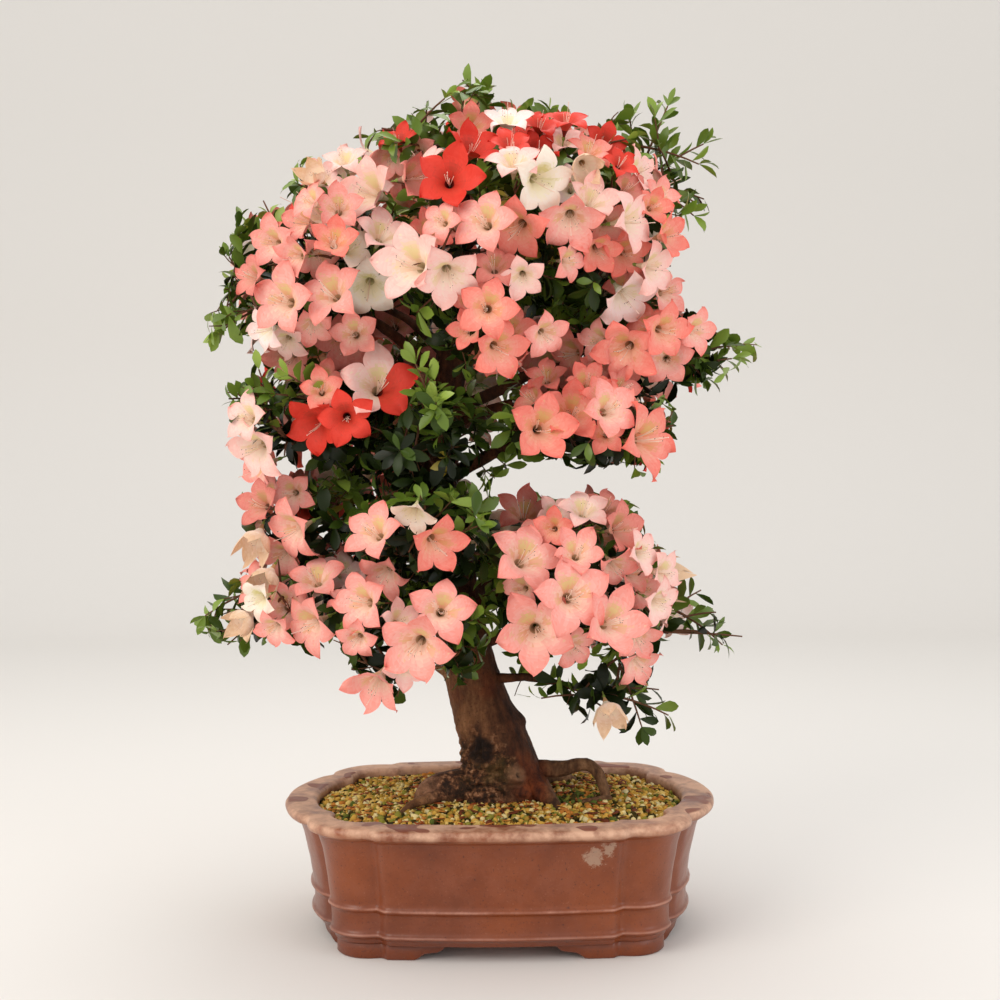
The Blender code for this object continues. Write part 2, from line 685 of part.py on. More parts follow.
def grow_twigs(space, stem, tips, shoots, limbs):
    """Joins each tip to the growing tree of twigs, nearest first: for each, its path and if it is a shoot."""
    nodes = [(point, 0.0) for a, b in zip(stem, stem[1:]) for point in between(a, b, NODE_STEP)[1:]]
    root = stem[0]
    wanted = sorted(tips, key=lambda tip: float(np.linalg.norm(tip - root)))
    rows = [(tip, False) for tip in wanted] + [(np.array(tip), True) for tip in shoots]
    twigs = []
    for tip, is_shoot in rows:
        costs = [np.linalg.norm(tip - node) + REACH_COST * gone for node, gone in nodes]
        for index in np.argsort(costs)[:PARENT_TRIES]:
            node, gone = nodes[index]
            length = float(np.linalg.norm(tip - node))
            if length < SHORTEST_TWIG:
                continue
            path = [node - TWIG_BACK * unit(tip - node), tip]
            if length > BEND_LENGTH:
                path.insert(1, (node + tip) / 2 + np.array([0, 0, BEND_RISE * length]))
            sample = np.concatenate([between(a, b, SAMPLE_STEP) for a, b in zip(path, path[1:])])
            if not space.between_planes(sample, CELL_MARGIN + TWIG_START / 2):
                continue
            if not limbs.clear(sample, LIMB_CLEARANCE + TWIG_START / 2):
                continue
            twigs.append((path, is_shoot))
            nodes += [(node + share * (tip - node), gone + share * length) for share in NODE_SHARES]
            break
    return twigs


def rosette(root, heading, turn, lobes, outline, radius, core, sink):
    """Lobes round one heading, as a closed thin shape: a rim, a point in front and one sunk in the twig."""
    side, up = across(heading)
    step = 2 * math.pi / lobes
    points = []
    for lobe in range(lobes):
        for share, reach, rise in outline:
            angle = turn + step * (lobe + share)
            out = math.cos(angle) * side + math.sin(angle) * up
            points.append(root + radius * (reach * out + rise * heading))
    rim = len(points)
    points += [root + core * heading, root - sink * heading]
    faces = []
    for index in range(rim):
        after = (index + 1) % rim
        faces += [(rim, index, after), (rim + 1, after, index)]
    return points, faces


def shape_samples(points, faces, step):
    """Points all over a shape's faces, about a step apart."""
    found = [np.array(points)]
    for a, b, c in faces:
        first, second, third = (np.asarray(points[index]) for index in (a, b, c))
        count = max(1, int(max(np.linalg.norm(second - first), np.linalg.norm(third - first)) / step))
        for i in range(1, count):
            row = [first + (second - first) * i / count, first + (third - first) * i / count]
            found.append(between(row[0], row[1], step))
    return np.concatenate(found)


def fits(shape, space, limbs, placed):
    """Whether a leaf or bloom stays in its space, off every limb and off what is already placed."""
    points, faces = shape
    if not space.between_planes(points):
        return False
    if not limbs.clear(shape_samples(points, faces, SAMPLE_STEP)):
        return False
    tree = surface_tree(shape)
    return not any(tree.overlap(other) for other in placed)


def surface_tree(shape):
    return BVHTree.FromPolygons([tuple(point) for point in shape[0]], shape[1])


def place(kind, twig, lobes, space, limbs, standing, seeded):
    """A whorl or a bloom on the end of a twig, turned until it fits, or nothing."""
    heading = unit(twig[-1] - twig[-2])
    look = facing(twig[-1], heading) if kind == "bloom" else unit(heading + np.array([0, 0, WHORL_RISE]))
    outline, radius, core, sink = KINDS[kind]
    for scale in np.linspace(1.0, SMALLEST_SCALE, PLACING_TRIES):
        turn = seeded.uniform(0, 2 * math.pi)
        shape = rosette(twig[-1], look, turn, lobes, outline, radius * scale, core, sink)
        if fits(shape, space, limbs, standing):
            return shape
    return None


def core_shape(space, limbs, seeded):
    """An uneven core, drawn in to the planes of its space, as large as stays off every limb, or nothing."""
    form = bmesh.new()
    bmesh.ops.create_icosphere(form, subdivisions=CORE_SUBDIVISIONS, radius=1.0)
    ways = [np.array(vertex.co) * seeded.uniform(*CORE_UNEVEN) for vertex in form.verts]
    faces = [tuple(vertex.index for vertex in face.verts) for face in form.faces]
    form.free()
    room = space.offsets - CORE_CLEARANCE - space.directions @ space.centre
    for share in CORE_SHARES:
        points = []
        for way in ways:
            out = way * space.half * share
            toward = space.directions @ out
            limit = min([1.0] + [float(r / t) for r, t in zip(room, toward) if t > 1e-6])
            points.append(space.centre + max(limit, CORE_THINNEST) * out)
        shape = points, faces
        if (room > CORE_CLEARANCE).all() and limbs.clear(shape_samples(*shape, SAMPLE_STEP), CORE_CLEARANCE):
            return shape
    return None


def facing(tip, heading):
    """Where a bloom at this tip looks: away from the trunk, a little up, and on from its twig."""
    middle = trunk_at(min(tip[2] - BLOOM_LOOKS_FROM, TRUNK[-1][2]))
    return unit(unit(tip - middle) + BLOOM_ALONG_TWIG * heading + np.array([0, 0, BLOOM_RISE]))


def blooming_tips(twigs, bloom_share):
    """Which twigs bloom: those whose tips stand furthest out from the trunk, shoots left out."""
    away = [float(np.linalg.norm((path[-1] - trunk_at(path[-1][2]))[:2])) for path, _ in twigs]
    outermost = [index for index in np.argsort(away)[::-1] if not twigs[index][1]]
    return outermost[: round(bloom_share * len(twigs))]


def make_mass(name, order, stem, limbs, leaf, petal):
    """The twigs, leaves and blooms of one mass, fused into one solid."""
    seeded = np.random.default_rng(SEED + order)
    mass, space = MASSES[name], Space(name)
    base = mesh_object("foliage_" + name, *tube(*stem, LIMB_SIDES), leaf)
    tips = spread_tips(space, mass.tips, seeded)
    twigs = grow_twigs(space, stem[0], tips, SHOOTS.get(name, ()), limbs)
    pieces = []
    for path, _ in twigs:
        pieces.append((tube(path, np.linspace(TWIG_START, TWIG_END, len(path)) / 2, TWIG_SIDES), leaf))
    trees = [surface_tree(piece) for piece, _ in pieces]
    blooming = blooming_tips(twigs, mass.bloom_share)
    standing = []
    for index in blooming + [index for index in range(len(twigs)) if index not in blooming]:
        path, is_shoot = twigs[index]
        kind, lobes = "whorl", SHOOT_LEAVES if is_shoot else WHORL_LEAVES
        if index in blooming:
            kind, lobes = "bloom", PETALS
        shape = place(kind, path, lobes, space, limbs, trees[:index] + trees[index + 1 :] + standing, seeded)
        if shape:
            pieces.append((shape, petal if kind == "bloom" else leaf))
            standing.append(surface_tree(shape))
    core = core_shape(space, limbs, seeded) if name in DENSE else None
    if core:
        pieces.append((core, leaf))
    named = enumerate(pieces)
    unite(base, [mesh_object(f"{name}_{index}", *shape, finish) for index, (shape, finish) in named])
    keep_main_body(base)
    return base


def stand_on_origin(things):
    """Moves the whole plant so that the bottom centre of its box is the origin."""
    corners = np.array([vertex.co[:] for thing in things for vertex in thing.data.vertices])
    low, high = corners.min(axis=0), corners.max(axis=0)
    root = bpy.data.objects.new("azalea_bonsai", None)
    bpy.context.scene.collection.objects.link(root)
    for thing in things:
        thing.parent = root
    root.location = (-(low[0] + high[0]) / 2, -(low[1] + high[1]) / 2, -low[2])


def main():
    clear_scene()
    clay = material("fired_clay", FIRED_CLAY, 0.55)
    grit = material("grit", GRIT, 0.95)
    bark = material("bark", BARK, 0.85)
    leaf = material("leaf", LEAF_GREEN, 0.45)
    petal = material("petal", BLOSSOM_PINK, 0.6)
    things = [make_pot(clay), make_soil(grit)]
    things.append(mesh_object("trunk", *loft(trunk_rings(0.0)), bark))
    shade_round(things[-1])
    trunk_room = mesh_object("trunk_room", *loft(trunk_rings(STEM_GAP)))
    soil_plan = pot_outline(SOIL_WALL_INSET)
    soil_skin = loft([level(soil_plan, SOIL_ROOM_FROM), level(soil_plan, SOIL_TOP + GAP)])
    soil_room = mesh_object("soil_room", *soil_skin)
    limbs, boughs, stems = plan_limbs()
    for name in ROOTS:
        things.append(make_limb(name, *root_path(name), bark, [trunk_room, soil_room]))
    for name, (path, radii) in boughs.items():
        things.append(make_limb("bough_" + name, path, radii, bark, [trunk_room]))
    for order, name in enumerate(MASSES):
        things.append(make_mass(name, order, stems[name], limbs, leaf, petal))
    for helper in (trunk_room, soil_room):
        bpy.data.objects.remove(helper)
    stand_on_origin(things)


main()
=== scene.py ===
import math
from collections import namedtuple

import bpy
import numpy as np
from mathutils import Matrix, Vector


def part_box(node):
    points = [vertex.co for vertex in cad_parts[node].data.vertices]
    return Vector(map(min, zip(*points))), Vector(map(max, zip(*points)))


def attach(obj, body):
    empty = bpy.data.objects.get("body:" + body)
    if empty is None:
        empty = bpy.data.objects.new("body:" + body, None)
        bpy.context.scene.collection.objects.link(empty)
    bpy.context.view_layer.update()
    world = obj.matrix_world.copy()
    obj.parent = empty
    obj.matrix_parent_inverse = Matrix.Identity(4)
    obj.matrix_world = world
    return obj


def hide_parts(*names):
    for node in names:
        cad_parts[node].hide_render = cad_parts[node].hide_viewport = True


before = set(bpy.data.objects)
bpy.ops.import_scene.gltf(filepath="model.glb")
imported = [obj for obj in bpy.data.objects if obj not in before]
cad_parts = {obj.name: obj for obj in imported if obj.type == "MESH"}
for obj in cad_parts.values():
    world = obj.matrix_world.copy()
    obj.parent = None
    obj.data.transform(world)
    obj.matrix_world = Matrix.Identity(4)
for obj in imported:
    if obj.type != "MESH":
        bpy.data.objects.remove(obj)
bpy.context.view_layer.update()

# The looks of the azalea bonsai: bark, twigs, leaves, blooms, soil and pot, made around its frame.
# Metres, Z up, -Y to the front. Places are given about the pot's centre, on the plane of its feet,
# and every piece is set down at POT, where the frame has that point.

POT_LOW, POT_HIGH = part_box("pot")
POT = np.array([(POT_LOW.x + POT_HIGH.x) / 2, (POT_LOW.y + POT_HIGH.y) / 2, POT_LOW.z])
SEED = 411
UP = np.array([0.0, 0.0, 1.0])

# The camera: nearly level, at the height of the crown's middle, with a 50 mm lens on a 36 mm square sensor
CAMERA_ROLL, CAMERA_PITCH = -0.009, -0.0192
LENS, SENSOR = 50.0, 36.0
IMAGE_SIZE, IMAGE_MIDDLE = 1000, 499.5
FOCAL_PIXELS = IMAGE_SIZE * LENS / SENSOR
CAMERA = np.array([0.003, -1.300, 0.420])
SIGHT_AHEAD = np.array([0.0, math.cos(CAMERA_PITCH), math.sin(CAMERA_PITCH)])
SIGHT_RIGHT = np.array([math.cos(CAMERA_ROLL), 0.0, math.sin(CAMERA_ROLL)])
SIGHT_UP = np.cross(SIGHT_RIGHT, SIGHT_AHEAD)

# The pot, as its frame has it
POT_HALF_WIDTH = 0.200
POT_HALF_DEPTH = 0.149
POT_HEIGHT = 0.1210
STEP_X = 0.108
NOTCH_X, NOTCH_Y = 0.171, 0.089
STEP_DRAW = 0.30
NOTCH_DRAW_X, NOTCH_DRAW_Y = 0.75, 0.60
PANEL_RISE = 0.006
CORNER_RISE = 0.014
PANEL_PARTS, CORNER_PARTS, END_PARTS = 72, 30, 60
CREASE_ROUNDS = 2
STEPPED_CORNERS = 0, 1, 4, 5
STEP_BACK, STEP_WIDTH = 0.0085, 0.026
NOTCH_GROOVE, NOTCH_WIDTH = 0.0040, 0.0060
PROFILE_STEP, PROFILE_ROUNDS = 0.0012, 1
FLOOR_BOTTOM = 0.0140
FLOOR_TOP = 0.0240
FOOT_INSET = 0.0326
FOOT_THICKNESS = 0.0150
FOOT_REACH_FRONT = 0.047
FOOT_REACH_END = 0.040
FOOT_TOP = 0.0190
FOOT_ROUNDING = 0.0012
FOOT_STEP = 0.0016
FOOT_SCROLL = (
    (0.000, 0.0128), (0.002, 0.0104), (0.005, 0.0080), (0.009, 0.0067), (0.014, 0.0062),
    (0.019, 0.0053), (0.023, 0.0030), (0.026, 0.0008), (0.029, 0.0),
)
POT_OUTSIDE = (
    (FLOOR_BOTTOM, 0.0310), (0.0180, 0.0290), (0.0198, 0.0266), (0.0210, 0.0246), (0.0222, 0.0234),
    (0.0234, 0.0240), (0.0246, 0.0258), (0.0262, 0.0266), (0.0330, 0.0268), (0.0400, 0.0263),
    (0.0424, 0.0254), (0.0438, 0.0236), (0.0452, 0.0224), (0.0466, 0.0230), (0.0478, 0.0246),
    (0.0495, 0.0252), (0.0680, 0.0226),
    (0.0950, 0.0166), (0.1070, 0.0125), (0.1105, 0.0060), (0.1125, 0.0012), (0.1165, 0.0000),
    (0.1200, 0.0024), (POT_HEIGHT, 0.0090), (POT_HEIGHT, 0.0265), (0.1185, 0.0298),
    (0.1050, 0.0304),
)
POT_INSIDE = (FLOOR_TOP, 0.0345)
# Heights of the bead crests, where painted highlights are laid
BEAD_CREST_HIGHLIGHTS = 0.0460, 0.0230
POT_UNEVEN = 0.00035
CHIP_DEPTH = 0.0005
LIME_SPOTS = ((0.081, -0.136, 0.0925), 0.020), ((0.093, -0.136, 0.0990), 0.017)

# The soil, mounded up to the trunk, and the granules on it
SOIL_TOP = 0.1205
SOIL_EDGE = 0.1125
SOIL_CROWN_RADIUS = 0.064
SOIL_SHOULDER_OUT, SOIL_SHOULDER_UP = 0.45, 0.75
SOIL_WALL_INSET = 0.0304
SOIL_RINGS, SOIL_INNER_RING = 44, 0.12
SOIL_UNEVEN = 0.0008
SOIL_SINK = 0.0022
GRANULES = 5200
GRANULE_HALF = (0.0015, 0.0040)
CHIPS = 380

# The trunk from the soil up: X, Y, height and diameter where it bends or swells
TRUNK_FOOT = 0.1208
TRUNK = (
    (0.004, 0.000, TRUNK_FOOT, 0.080),
    (0.001, 0.000, 0.145, 0.074),
    (-0.005, 0.002, 0.172, 0.067),
    (-0.018, 0.004, 0.208, 0.057),
    (-0.029, 0.004, 0.245, 0.051),
    (-0.040, 0.000, 0.300, 0.047),
    (-0.047, -0.004, 0.345, 0.044),
    (-0.056, -0.004, 0.405, 0.043),
    (-0.050, 0.000, 0.455, 0.032),
    (-0.042, 0.006, 0.526, 0.028),
    (-0.036, 0.002, 0.600, 0.022),
    (-0.028, -0.003, 0.655, 0.015),
    (-0.030, -0.008, 0.692, 0.010),
)
TRUNK_STEPS = 2
TRUNK_SIDES = 132
TRUNK_FINE_STEPS, TRUNK_SUNK_STEPS = 22, 8
TRUNK_FLUTES = 0.0020
FLARE_SWELL = 0.24
FLARE_HEIGHT = 0.050
FLARE_DIRECTIONS = (-168, -118, -18, 62, 138)
FLARE_WIDTH = 22
# Knots and hollows on the trunk: turn in degrees, height, how far it stands out, and its half-width
Knot = namedtuple("Knot", "turn height out width")
KNOTS = (
    Knot(180, 0.237, 0.0080, 0.006),
    Knot(182, 0.148, -0.0040, 0.016),
    Knot(-4, 0.190, 0.0050, 0.008),
    Knot(-68, 0.144, 0.0070, 0.006),
    Knot(-67, 0.1445, -0.0060, 0.0022),
    Knot(-98, 0.146, -0.0050, 0.007),
    Knot(-120, 0.168, -0.0045, 0.010),
    Knot(-62, 0.128, 0.0050, 0.007),
    Knot(-140, 0.190, 0.0030, 0.010),
    Knot(60, 0.205, 0.0060, 0.010),
    Knot(120, 0.300, 0.0050, 0.009),
    Knot(-85, 0.395, 0.0040, 0.010),
)
# The burl low in front with the hole in it, the hollow over it, and the rough patch low on the left
BURL_PLACE, BURL_HOLE = (0.0155, -0.0370, 0.144), (0.0165, -0.0395, 0.1445)
HOLLOW_PLACE = (-0.0167, -0.030, 0.166)
ROUGH_TURN, ROUGH_HEIGHT, ROUGH_REACH, ROUGH_RISE = -118, 0.140, (66, 0.036), 0.0085
BARK_RIDGE, BARK_FLAKE = 0.0009, 0.0005
# Bark is painted lit on the left and painted shaded on the right of a line that leans as the trunk does
TRUNK_LEAN = 0.26
LIT_SIDE = tuple(edge + POT[0] + TRUNK_LEAN * POT[2] for edge in (0.024, 0.074))
BARK_LIT_AND_SHADED = ("#5A3F2C", "#7E5F45", "#9A7A5C", "#BC9C7A"), ("#2A170E", "#432A1C", "#5E3E2A", "#7E5840")

# Boughs and roots: how finely they are made, how far they wander, and what twigs keep off them
LIMB_SIDES = 14
LIMB_PART = 0.028
LIMB_LIFT = 0.16
LIMB_STEP = 0.004
LIMB_WANDER = 0.0022
LIMB_CLEARANCE = 0.0022
LIMB_SWELL = 0.10
ROOT_STEPS = 6
ROOT_SEED, BOUGH_SEED, LIMB_SEED_STEP = 40, 80, 5
# Roots over the soil: X, Y, height and diameter where each bends or swells
ROOTS = (
    ((0.018, -0.004, 0.134, 0.028), (0.038, -0.006, 0.1430, 0.0195), (0.056, -0.009, 0.1430, 0.0155),
     (0.074, -0.012, 0.1475, 0.0130), (0.084, -0.015, 0.1470, 0.0120), (0.092, -0.019, 0.1395, 0.0105),
     (0.097, -0.024, 0.1270, 0.0090), (0.100, -0.028, 0.106, 0.0080)),
    ((-0.018, -0.010, 0.122, 0.050), (-0.040, -0.017, 0.126, 0.040), (-0.055, -0.021, 0.128, 0.034),
     (-0.065, -0.025, 0.125, 0.028), (-0.071, -0.029, 0.114, 0.021), (-0.073, -0.031, 0.104, 0.016)),
    ((-0.014, 0.008, 0.124, 0.034), (-0.040, 0.016, 0.121, 0.022), (-0.062, 0.024, 0.114, 0.012),
     (-0.074, 0.028, 0.106, 0.007)),
    ((0.022, -0.012, 0.138, 0.030), (0.038, -0.034, 0.128, 0.019), (0.050, -0.050, 0.119, 0.012),
     (0.062, -0.062, 0.106, 0.007)),
    ((0.000, -0.020, 0.120, 0.034), (0.006, -0.036, 0.118, 0.024), (0.012, -0.050, 0.110, 0.013),
     (0.016, -0.060, 0.104, 0.007)),
    ((-0.050, -0.030, 0.126, 0.013), (-0.066, -0.046, 0.1245, 0.009), (-0.080, -0.058, 0.1225, 0.007),
     (-0.096, -0.070, 0.108, 0.004)),
    ((0.020, 0.018, 0.134, 0.028), (0.046, 0.038, 0.128, 0.017), (0.070, 0.056, 0.119, 0.010),
     (0.086, 0.070, 0.106, 0.006)),
    ((0.102, -0.030, 0.1205, 0.006), (0.088, -0.036, 0.1215, 0.005), (0.072, -0.040, 0.119, 0.004),
     (0.062, -0.046, 0.108, 0.003)),
)

# Foliage: the space of each mass (centre and half-sizes), its tips, its further blooms, how high its bough
# leaves the trunk, and the bough's diameters at the trunk and at the mass
Mass = namedtuple("Mass", "centre half tips blooms height thick thin")
MASSES = {
    "apex": Mass((-0.040, -0.015, 0.738), (0.100, 0.088, 0.056), 20, 9, None, 0.010, 0.010),
    "top_right": Mass((0.068, -0.008, 0.712), (0.080, 0.088, 0.058), 22, 9, 0.628, 0.012, 0.008),
    "top_right_spray": Mass((0.157, 0.010, 0.706), (0.062, 0.058, 0.076), 3, 0, 0.600, 0.011, 0.006),
    "shoulder_left_front": Mass((-0.166, -0.066, 0.612), (0.096, 0.088, 0.096), 32, 6, 0.500, 0.014, 0.009),
    "shoulder_left_back": Mass((-0.158, 0.075, 0.622), (0.098, 0.085, 0.096), 26, 17, 0.530, 0.013, 0.008),
    "front_upper": Mass((-0.010, -0.108, 0.606), (0.096, 0.075, 0.108), 32, 0, 0.545, 0.012, 0.008),
    "shoulder_right_front": Mass((0.094, -0.066, 0.630), (0.082, 0.084, 0.082), 30, 5, 0.565, 0.013, 0.008),
    "shoulder_right_back": Mass((0.094, 0.082, 0.632), (0.088, 0.085, 0.095), 32, 18, 0.585, 0.012, 0.008),
    "back_upper": Mass((-0.030, 0.125, 0.636), (0.100, 0.075, 0.108), 34, 20, 0.560, 0.012, 0.008),
    "mid_right_front": Mass((0.132, -0.036, 0.540), (0.088, 0.080, 0.060), 28, 4, 0.470, 0.013, 0.008),
    "mid_right_low": Mass((0.084, -0.074, 0.467), (0.088, 0.074, 0.050), 26, 2, 0.408, 0.016, 0.009),
    "mid_right_back": Mass((0.112, 0.088, 0.518), (0.090, 0.084, 0.078), 32, 14, 0.455, 0.013, 0.008),
    "mid_left_front": Mass((-0.170, -0.042, 0.474), (0.090, 0.084, 0.062), 24, 5, 0.435, 0.012, 0.008),
    "inner_front": Mass((-0.068, -0.080, 0.455), (0.062, 0.058, 0.060), 20, 0, 0.412, 0.010, 0.007),
    "back_mid": Mass((-0.105, 0.100, 0.480), (0.100, 0.085, 0.082), 32, 14, 0.428, 0.014, 0.009),
    "low_mid_left": Mass((-0.180, -0.010, 0.374), (0.066, 0.074, 0.050), 22, 3, 0.385, 0.015, 0.008),
    "low_centre_front": Mass((-0.062, -0.094, 0.364), (0.080, 0.066, 0.046), 22, 0, 0.330, 0.013, 0.008),
    "low_left": Mass((-0.180, -0.030, 0.294), (0.096, 0.084, 0.052), 20, 5, 0.272, 0.017, 0.009),
    "low_centre_left": Mass((-0.080, -0.108, 0.278), (0.070, 0.066, 0.056), 24, 1, 0.246, 0.015, 0.009),
    "low_right_front": Mass((0.072, -0.082, 0.323), (0.092, 0.080, 0.081), 30, 3, 0.290, 0.017, 0.010),
    "low_right_outer": Mass((0.160, 0.002, 0.284), (0.064, 0.070, 0.058), 4, 1, 0.256, 0.015, 0.008),
    "low_right_under": Mass((0.096, -0.046, 0.226), (0.074, 0.062, 0.046), 4, 0, 0.224, 0.012, 0.007),
    "low_back_right": Mass((0.070, 0.090, 0.332), (0.094, 0.082, 0.078), 32, 13, 0.300, 0.015, 0.009),
    "low_back_left": Mass((-0.100, 0.095, 0.345), (0.100, 0.082, 0.080), 32, 14, 0.312, 0.016, 0.009),
}
# Long shoots that stand out of their mass: the end of each
SHOOTS = {
    "apex": (
        (-0.028, -0.015, 0.782), (-0.058, -0.070, 0.748), (-0.098, -0.074, 0.724), (-0.128, -0.050, 0.715),
        (-0.010, 0.020, 0.776), (-0.042, -0.094, 0.744), (-0.086, -0.096, 0.706), (0.044, -0.020, 0.762),
    ),
    "top_right": ((0.052, 0.030, 0.760), (0.118, -0.060, 0.716)),
    "top_right_spray": (
        (0.163, 0.006, 0.762), (0.196, 0.004, 0.726), (0.126, -0.012, 0.744), (0.194, -0.010, 0.672),
        (0.182, -0.026, 0.654), (0.148, -0.020, 0.744), (0.188, -0.020, 0.702), (0.150, -0.030, 0.716),
    ),
    "shoulder_left_front": (
        (-0.238, -0.050, 0.616), (-0.256, -0.030, 0.552), (-0.240, -0.060, 0.586), (-0.230, -0.050, 0.648),
        (-0.244, -0.070, 0.546), (-0.236, -0.040, 0.600), (-0.238, -0.066, 0.568),
    ),
    "shoulder_left_back": ((-0.240, 0.060, 0.658), (-0.250, 0.050, 0.610), (-0.222, 0.040, 0.684)),
    "mid_right_front": (
        (0.224, -0.030, 0.534), (0.205, -0.030, 0.540), (0.214, -0.040, 0.522), (0.186, -0.050, 0.505),
    ),
    "mid_right_low": ((0.130, -0.110, 0.432),),
    "mid_left_front": (
        (-0.246, -0.020, 0.502), (-0.236, -0.070, 0.488), (-0.215, -0.090, 0.500), (-0.190, -0.100, 0.490),
        (-0.226, -0.084, 0.474), (-0.205, -0.095, 0.512), (-0.178, -0.105, 0.506),
    ),
    "inner_front": (
        (-0.050, -0.130, 0.480), (-0.068, -0.112, 0.514), (-0.060, -0.112, 0.486), (-0.052, -0.112, 0.500),
    ),
    "low_left": ((-0.268, -0.030, 0.292), (-0.250, -0.020, 0.264), (-0.230, -0.060, 0.270)),
    "low_centre_front": ((-0.016, -0.140, 0.376),),
    "low_right_outer": (
        (0.229, 0.000, 0.265), (0.203, -0.010, 0.289), (0.192, 0.010, 0.308), (0.212, 0.010, 0.256),
    ),
    "low_right_under": (
        (0.152, -0.060, 0.202), (0.128, -0.060, 0.192), (0.064, -0.070, 0.212), (0.038, -0.070, 0.220),
        (0.146, -0.040, 0.222), (0.100, -0.070, 0.206),
    ),
}
# Masses that are long open shoots and little else, and how much darker than others a shaded mass is
AIRY = "top_right_spray", "low_right_outer", "low_right_under"
SHADE = dict.fromkeys(MASSES, 0) | {
    "inner_front": 2, "mid_left_front": 1, "low_mid_left": 1, "low_centre_front": 2, "low_centre_left": 1,
}
FOLIAGE_NODES = ["foliage_" + name for name in MASSES]
CELL_MARGIN = 0.0012
SEAT_DROP = 0.25
ENTRY_FIRST, ENTRY_LAST, ENTRY_STEP = 0.20, 0.92, 0.02
SHELL_INNER = 0.50
TIP_INSET = 0.013
CANDIDATES = 700
TIP_MARGIN = 0.002
NODE_STEP = 0.012
NODE_SHARES = (0.35, 0.65)
SHORTEST_TWIG = 0.012
REACH_COST = 0.35
PARENT_TRIES = 6
BEND_RISE, TWIG_SWAY = 0.10, 0.035
STEM_END = 0.0042
TWIG_START, TWIG_END, TWIG_BACK = 0.0030, 0.0014, 0.0015
TWIG_SIDES, TWIG_ROWS = 5, 6


def unit(vector):
    """The vector at length one."""
    return np.asarray(vector, float) / max(float(np.linalg.norm(vector)), 1e-12)


def units(rows):
    """Each row at length one."""
    return rows / np.maximum(np.linalg.norm(rows, axis=-1, keepdims=True), 1e-12)


def ring_turns(count):
    """Turns evenly round a circle."""
    return np.linspace(0, 2 * math.pi, count, endpoint=False)


def apart(turns, direction):
    """How far turns are from a direction, in degrees from -180 to 180."""
    return (np.degrees(turns) - direction + 180) % 360 - 180


def run_lengths(path):
    """How far along a path each of its points lies."""
    return np.concatenate([[0.0], np.cumsum(np.linalg.norm(np.diff(path, axis=0), axis=1))])


def linear(colour):
    """The shader's numbers for a colour written as #RRGGBB."""
    parts = [int(colour[at : at + 2], 16) / 255 for at in (1, 3, 5)]
    return tuple(part / 12.92 if part <= 0.04045 else ((part + 0.055) / 1.055) ** 2.4 for part in parts)


def shares_of(pairs):
    """The names of pairs, and their weights brought to a sum of one."""
    names, weights = zip(*pairs)
    return names, np.array(weights) / np.sum(weights)


def blend_colours(first, second, share):
    """The colour this share of the way from the first to the second, as #RRGGBB."""
    ends = [[int(colour[at : at + 2], 16) for at in (1, 3, 5)] for colour in (first, second)]
    return "#" + "".join(f"{round(a + share * (b - a)):02X}" for a, b in zip(*ends))


def wave_noise(points, seed):
    """Smooth noise from -1 to 1 at each point, on a grid of one unit."""
    table = np.random.default_rng(seed).uniform(-1, 1, (32, 32, 32))
    cell = np.floor(points).astype(int)
    part = points - cell
    part = part * part * (3 - 2 * part)
    total = np.zeros(len(points))
    for corner in range(8):
        step = np.array([corner & 1, corner >> 1 & 1, corner >> 2 & 1])
        weight = np.prod(np.where(step == 1, part, 1 - part), axis=1)
        total += weight * table[tuple(((cell + step) % 32).T)]
    return total


def project(points):
    """Where points stand in the picture: pixels across and down, and how far ahead of the camera."""
    away = np.atleast_2d(points) - CAMERA
    ahead = away @ SIGHT_AHEAD
    return (
        IMAGE_MIDDLE + FOCAL_PIXELS * (away @ SIGHT_RIGHT) / ahead,
        IMAGE_MIDDLE - FOCAL_PIXELS * (away @ SIGHT_UP) / ahead,
        ahead,
    )


# Meshes, as points, triangles and a finish for each triangle
Shape = namedtuple("Shape", "points faces tones")


def shape(points, faces, tones=0):
    faces = np.asarray(faces, int).reshape(-1, 3)
    return Shape(np.asarray(points, float).reshape(-1, 3), faces, np.broadcast_to(tones, len(faces)))


def join(shapes):
    """Several shapes as one."""
    starts = np.cumsum([0] + [len(each.points) for each in shapes[:-1]])
    return Shape(
        np.concatenate([each.points for each in shapes]),
        np.concatenate([each.faces + start for each, start in zip(shapes, starts)]),
        np.concatenate([each.tones for each in shapes]),
    )


def stamp(template, frames, places):
    """Copies of a shape: each frame's rows are its X, Y and Z at its size."""
    points = np.einsum("vi,kij->kvj", template.points, frames) + places[:, None, :]
    shift = np.arange(len(places))[:, None, None] * len(template.points)
    faces = (template.faces[None] + shift).reshape(-1, 3)
    return Shape(points.reshape(-1, 3), faces, np.tile(template.tones, len(places)))


def grid_faces(rows, columns, closed):
    """Triangles over a grid of points, row by row, closed round its columns or open."""
    parts = columns if closed else columns - 1
    row, column = np.meshgrid(np.arange(rows - 1), np.arange(parts), indexing="ij")
    after = (column + 1) % columns
    a, b = row * columns + column, row * columns + after
    c, d = b + columns, a + columns
    return np.stack([np.stack([a, b, c], -1), np.stack([a, c, d], -1)], 2).reshape(-1, 3)


def fan_faces(start, count, middle, turned=False):
    """Triangles from a ring of points to one point."""
    ring = start + np.arange(count)
    after = start + (np.arange(count) + 1) % count
    faces = np.stack([ring, after, np.full(count, middle)], -1)
    return faces[:, ::-1] if turned else faces


def capped_skin(rings, tone=0):
    """A closed skin over rings of equal count."""
    rings = np.asarray(rings)
    rows, columns = rings.shape[:2]
    points = np.concatenate([rings.reshape(-1, 3), rings[[0, -1]].mean(axis=1)])
    first = fan_faces(0, columns, rows * columns, turned=True)
    last = fan_faces((rows - 1) * columns, columns, rows * columns + 1)
    return shape(points, np.concatenate([grid_faces(rows, columns, True), first, last]), tone)


def add_object(name, data):
    made = bpy.data.objects.new(name, data)
    bpy.context.scene.collection.objects.link(made)
    return made


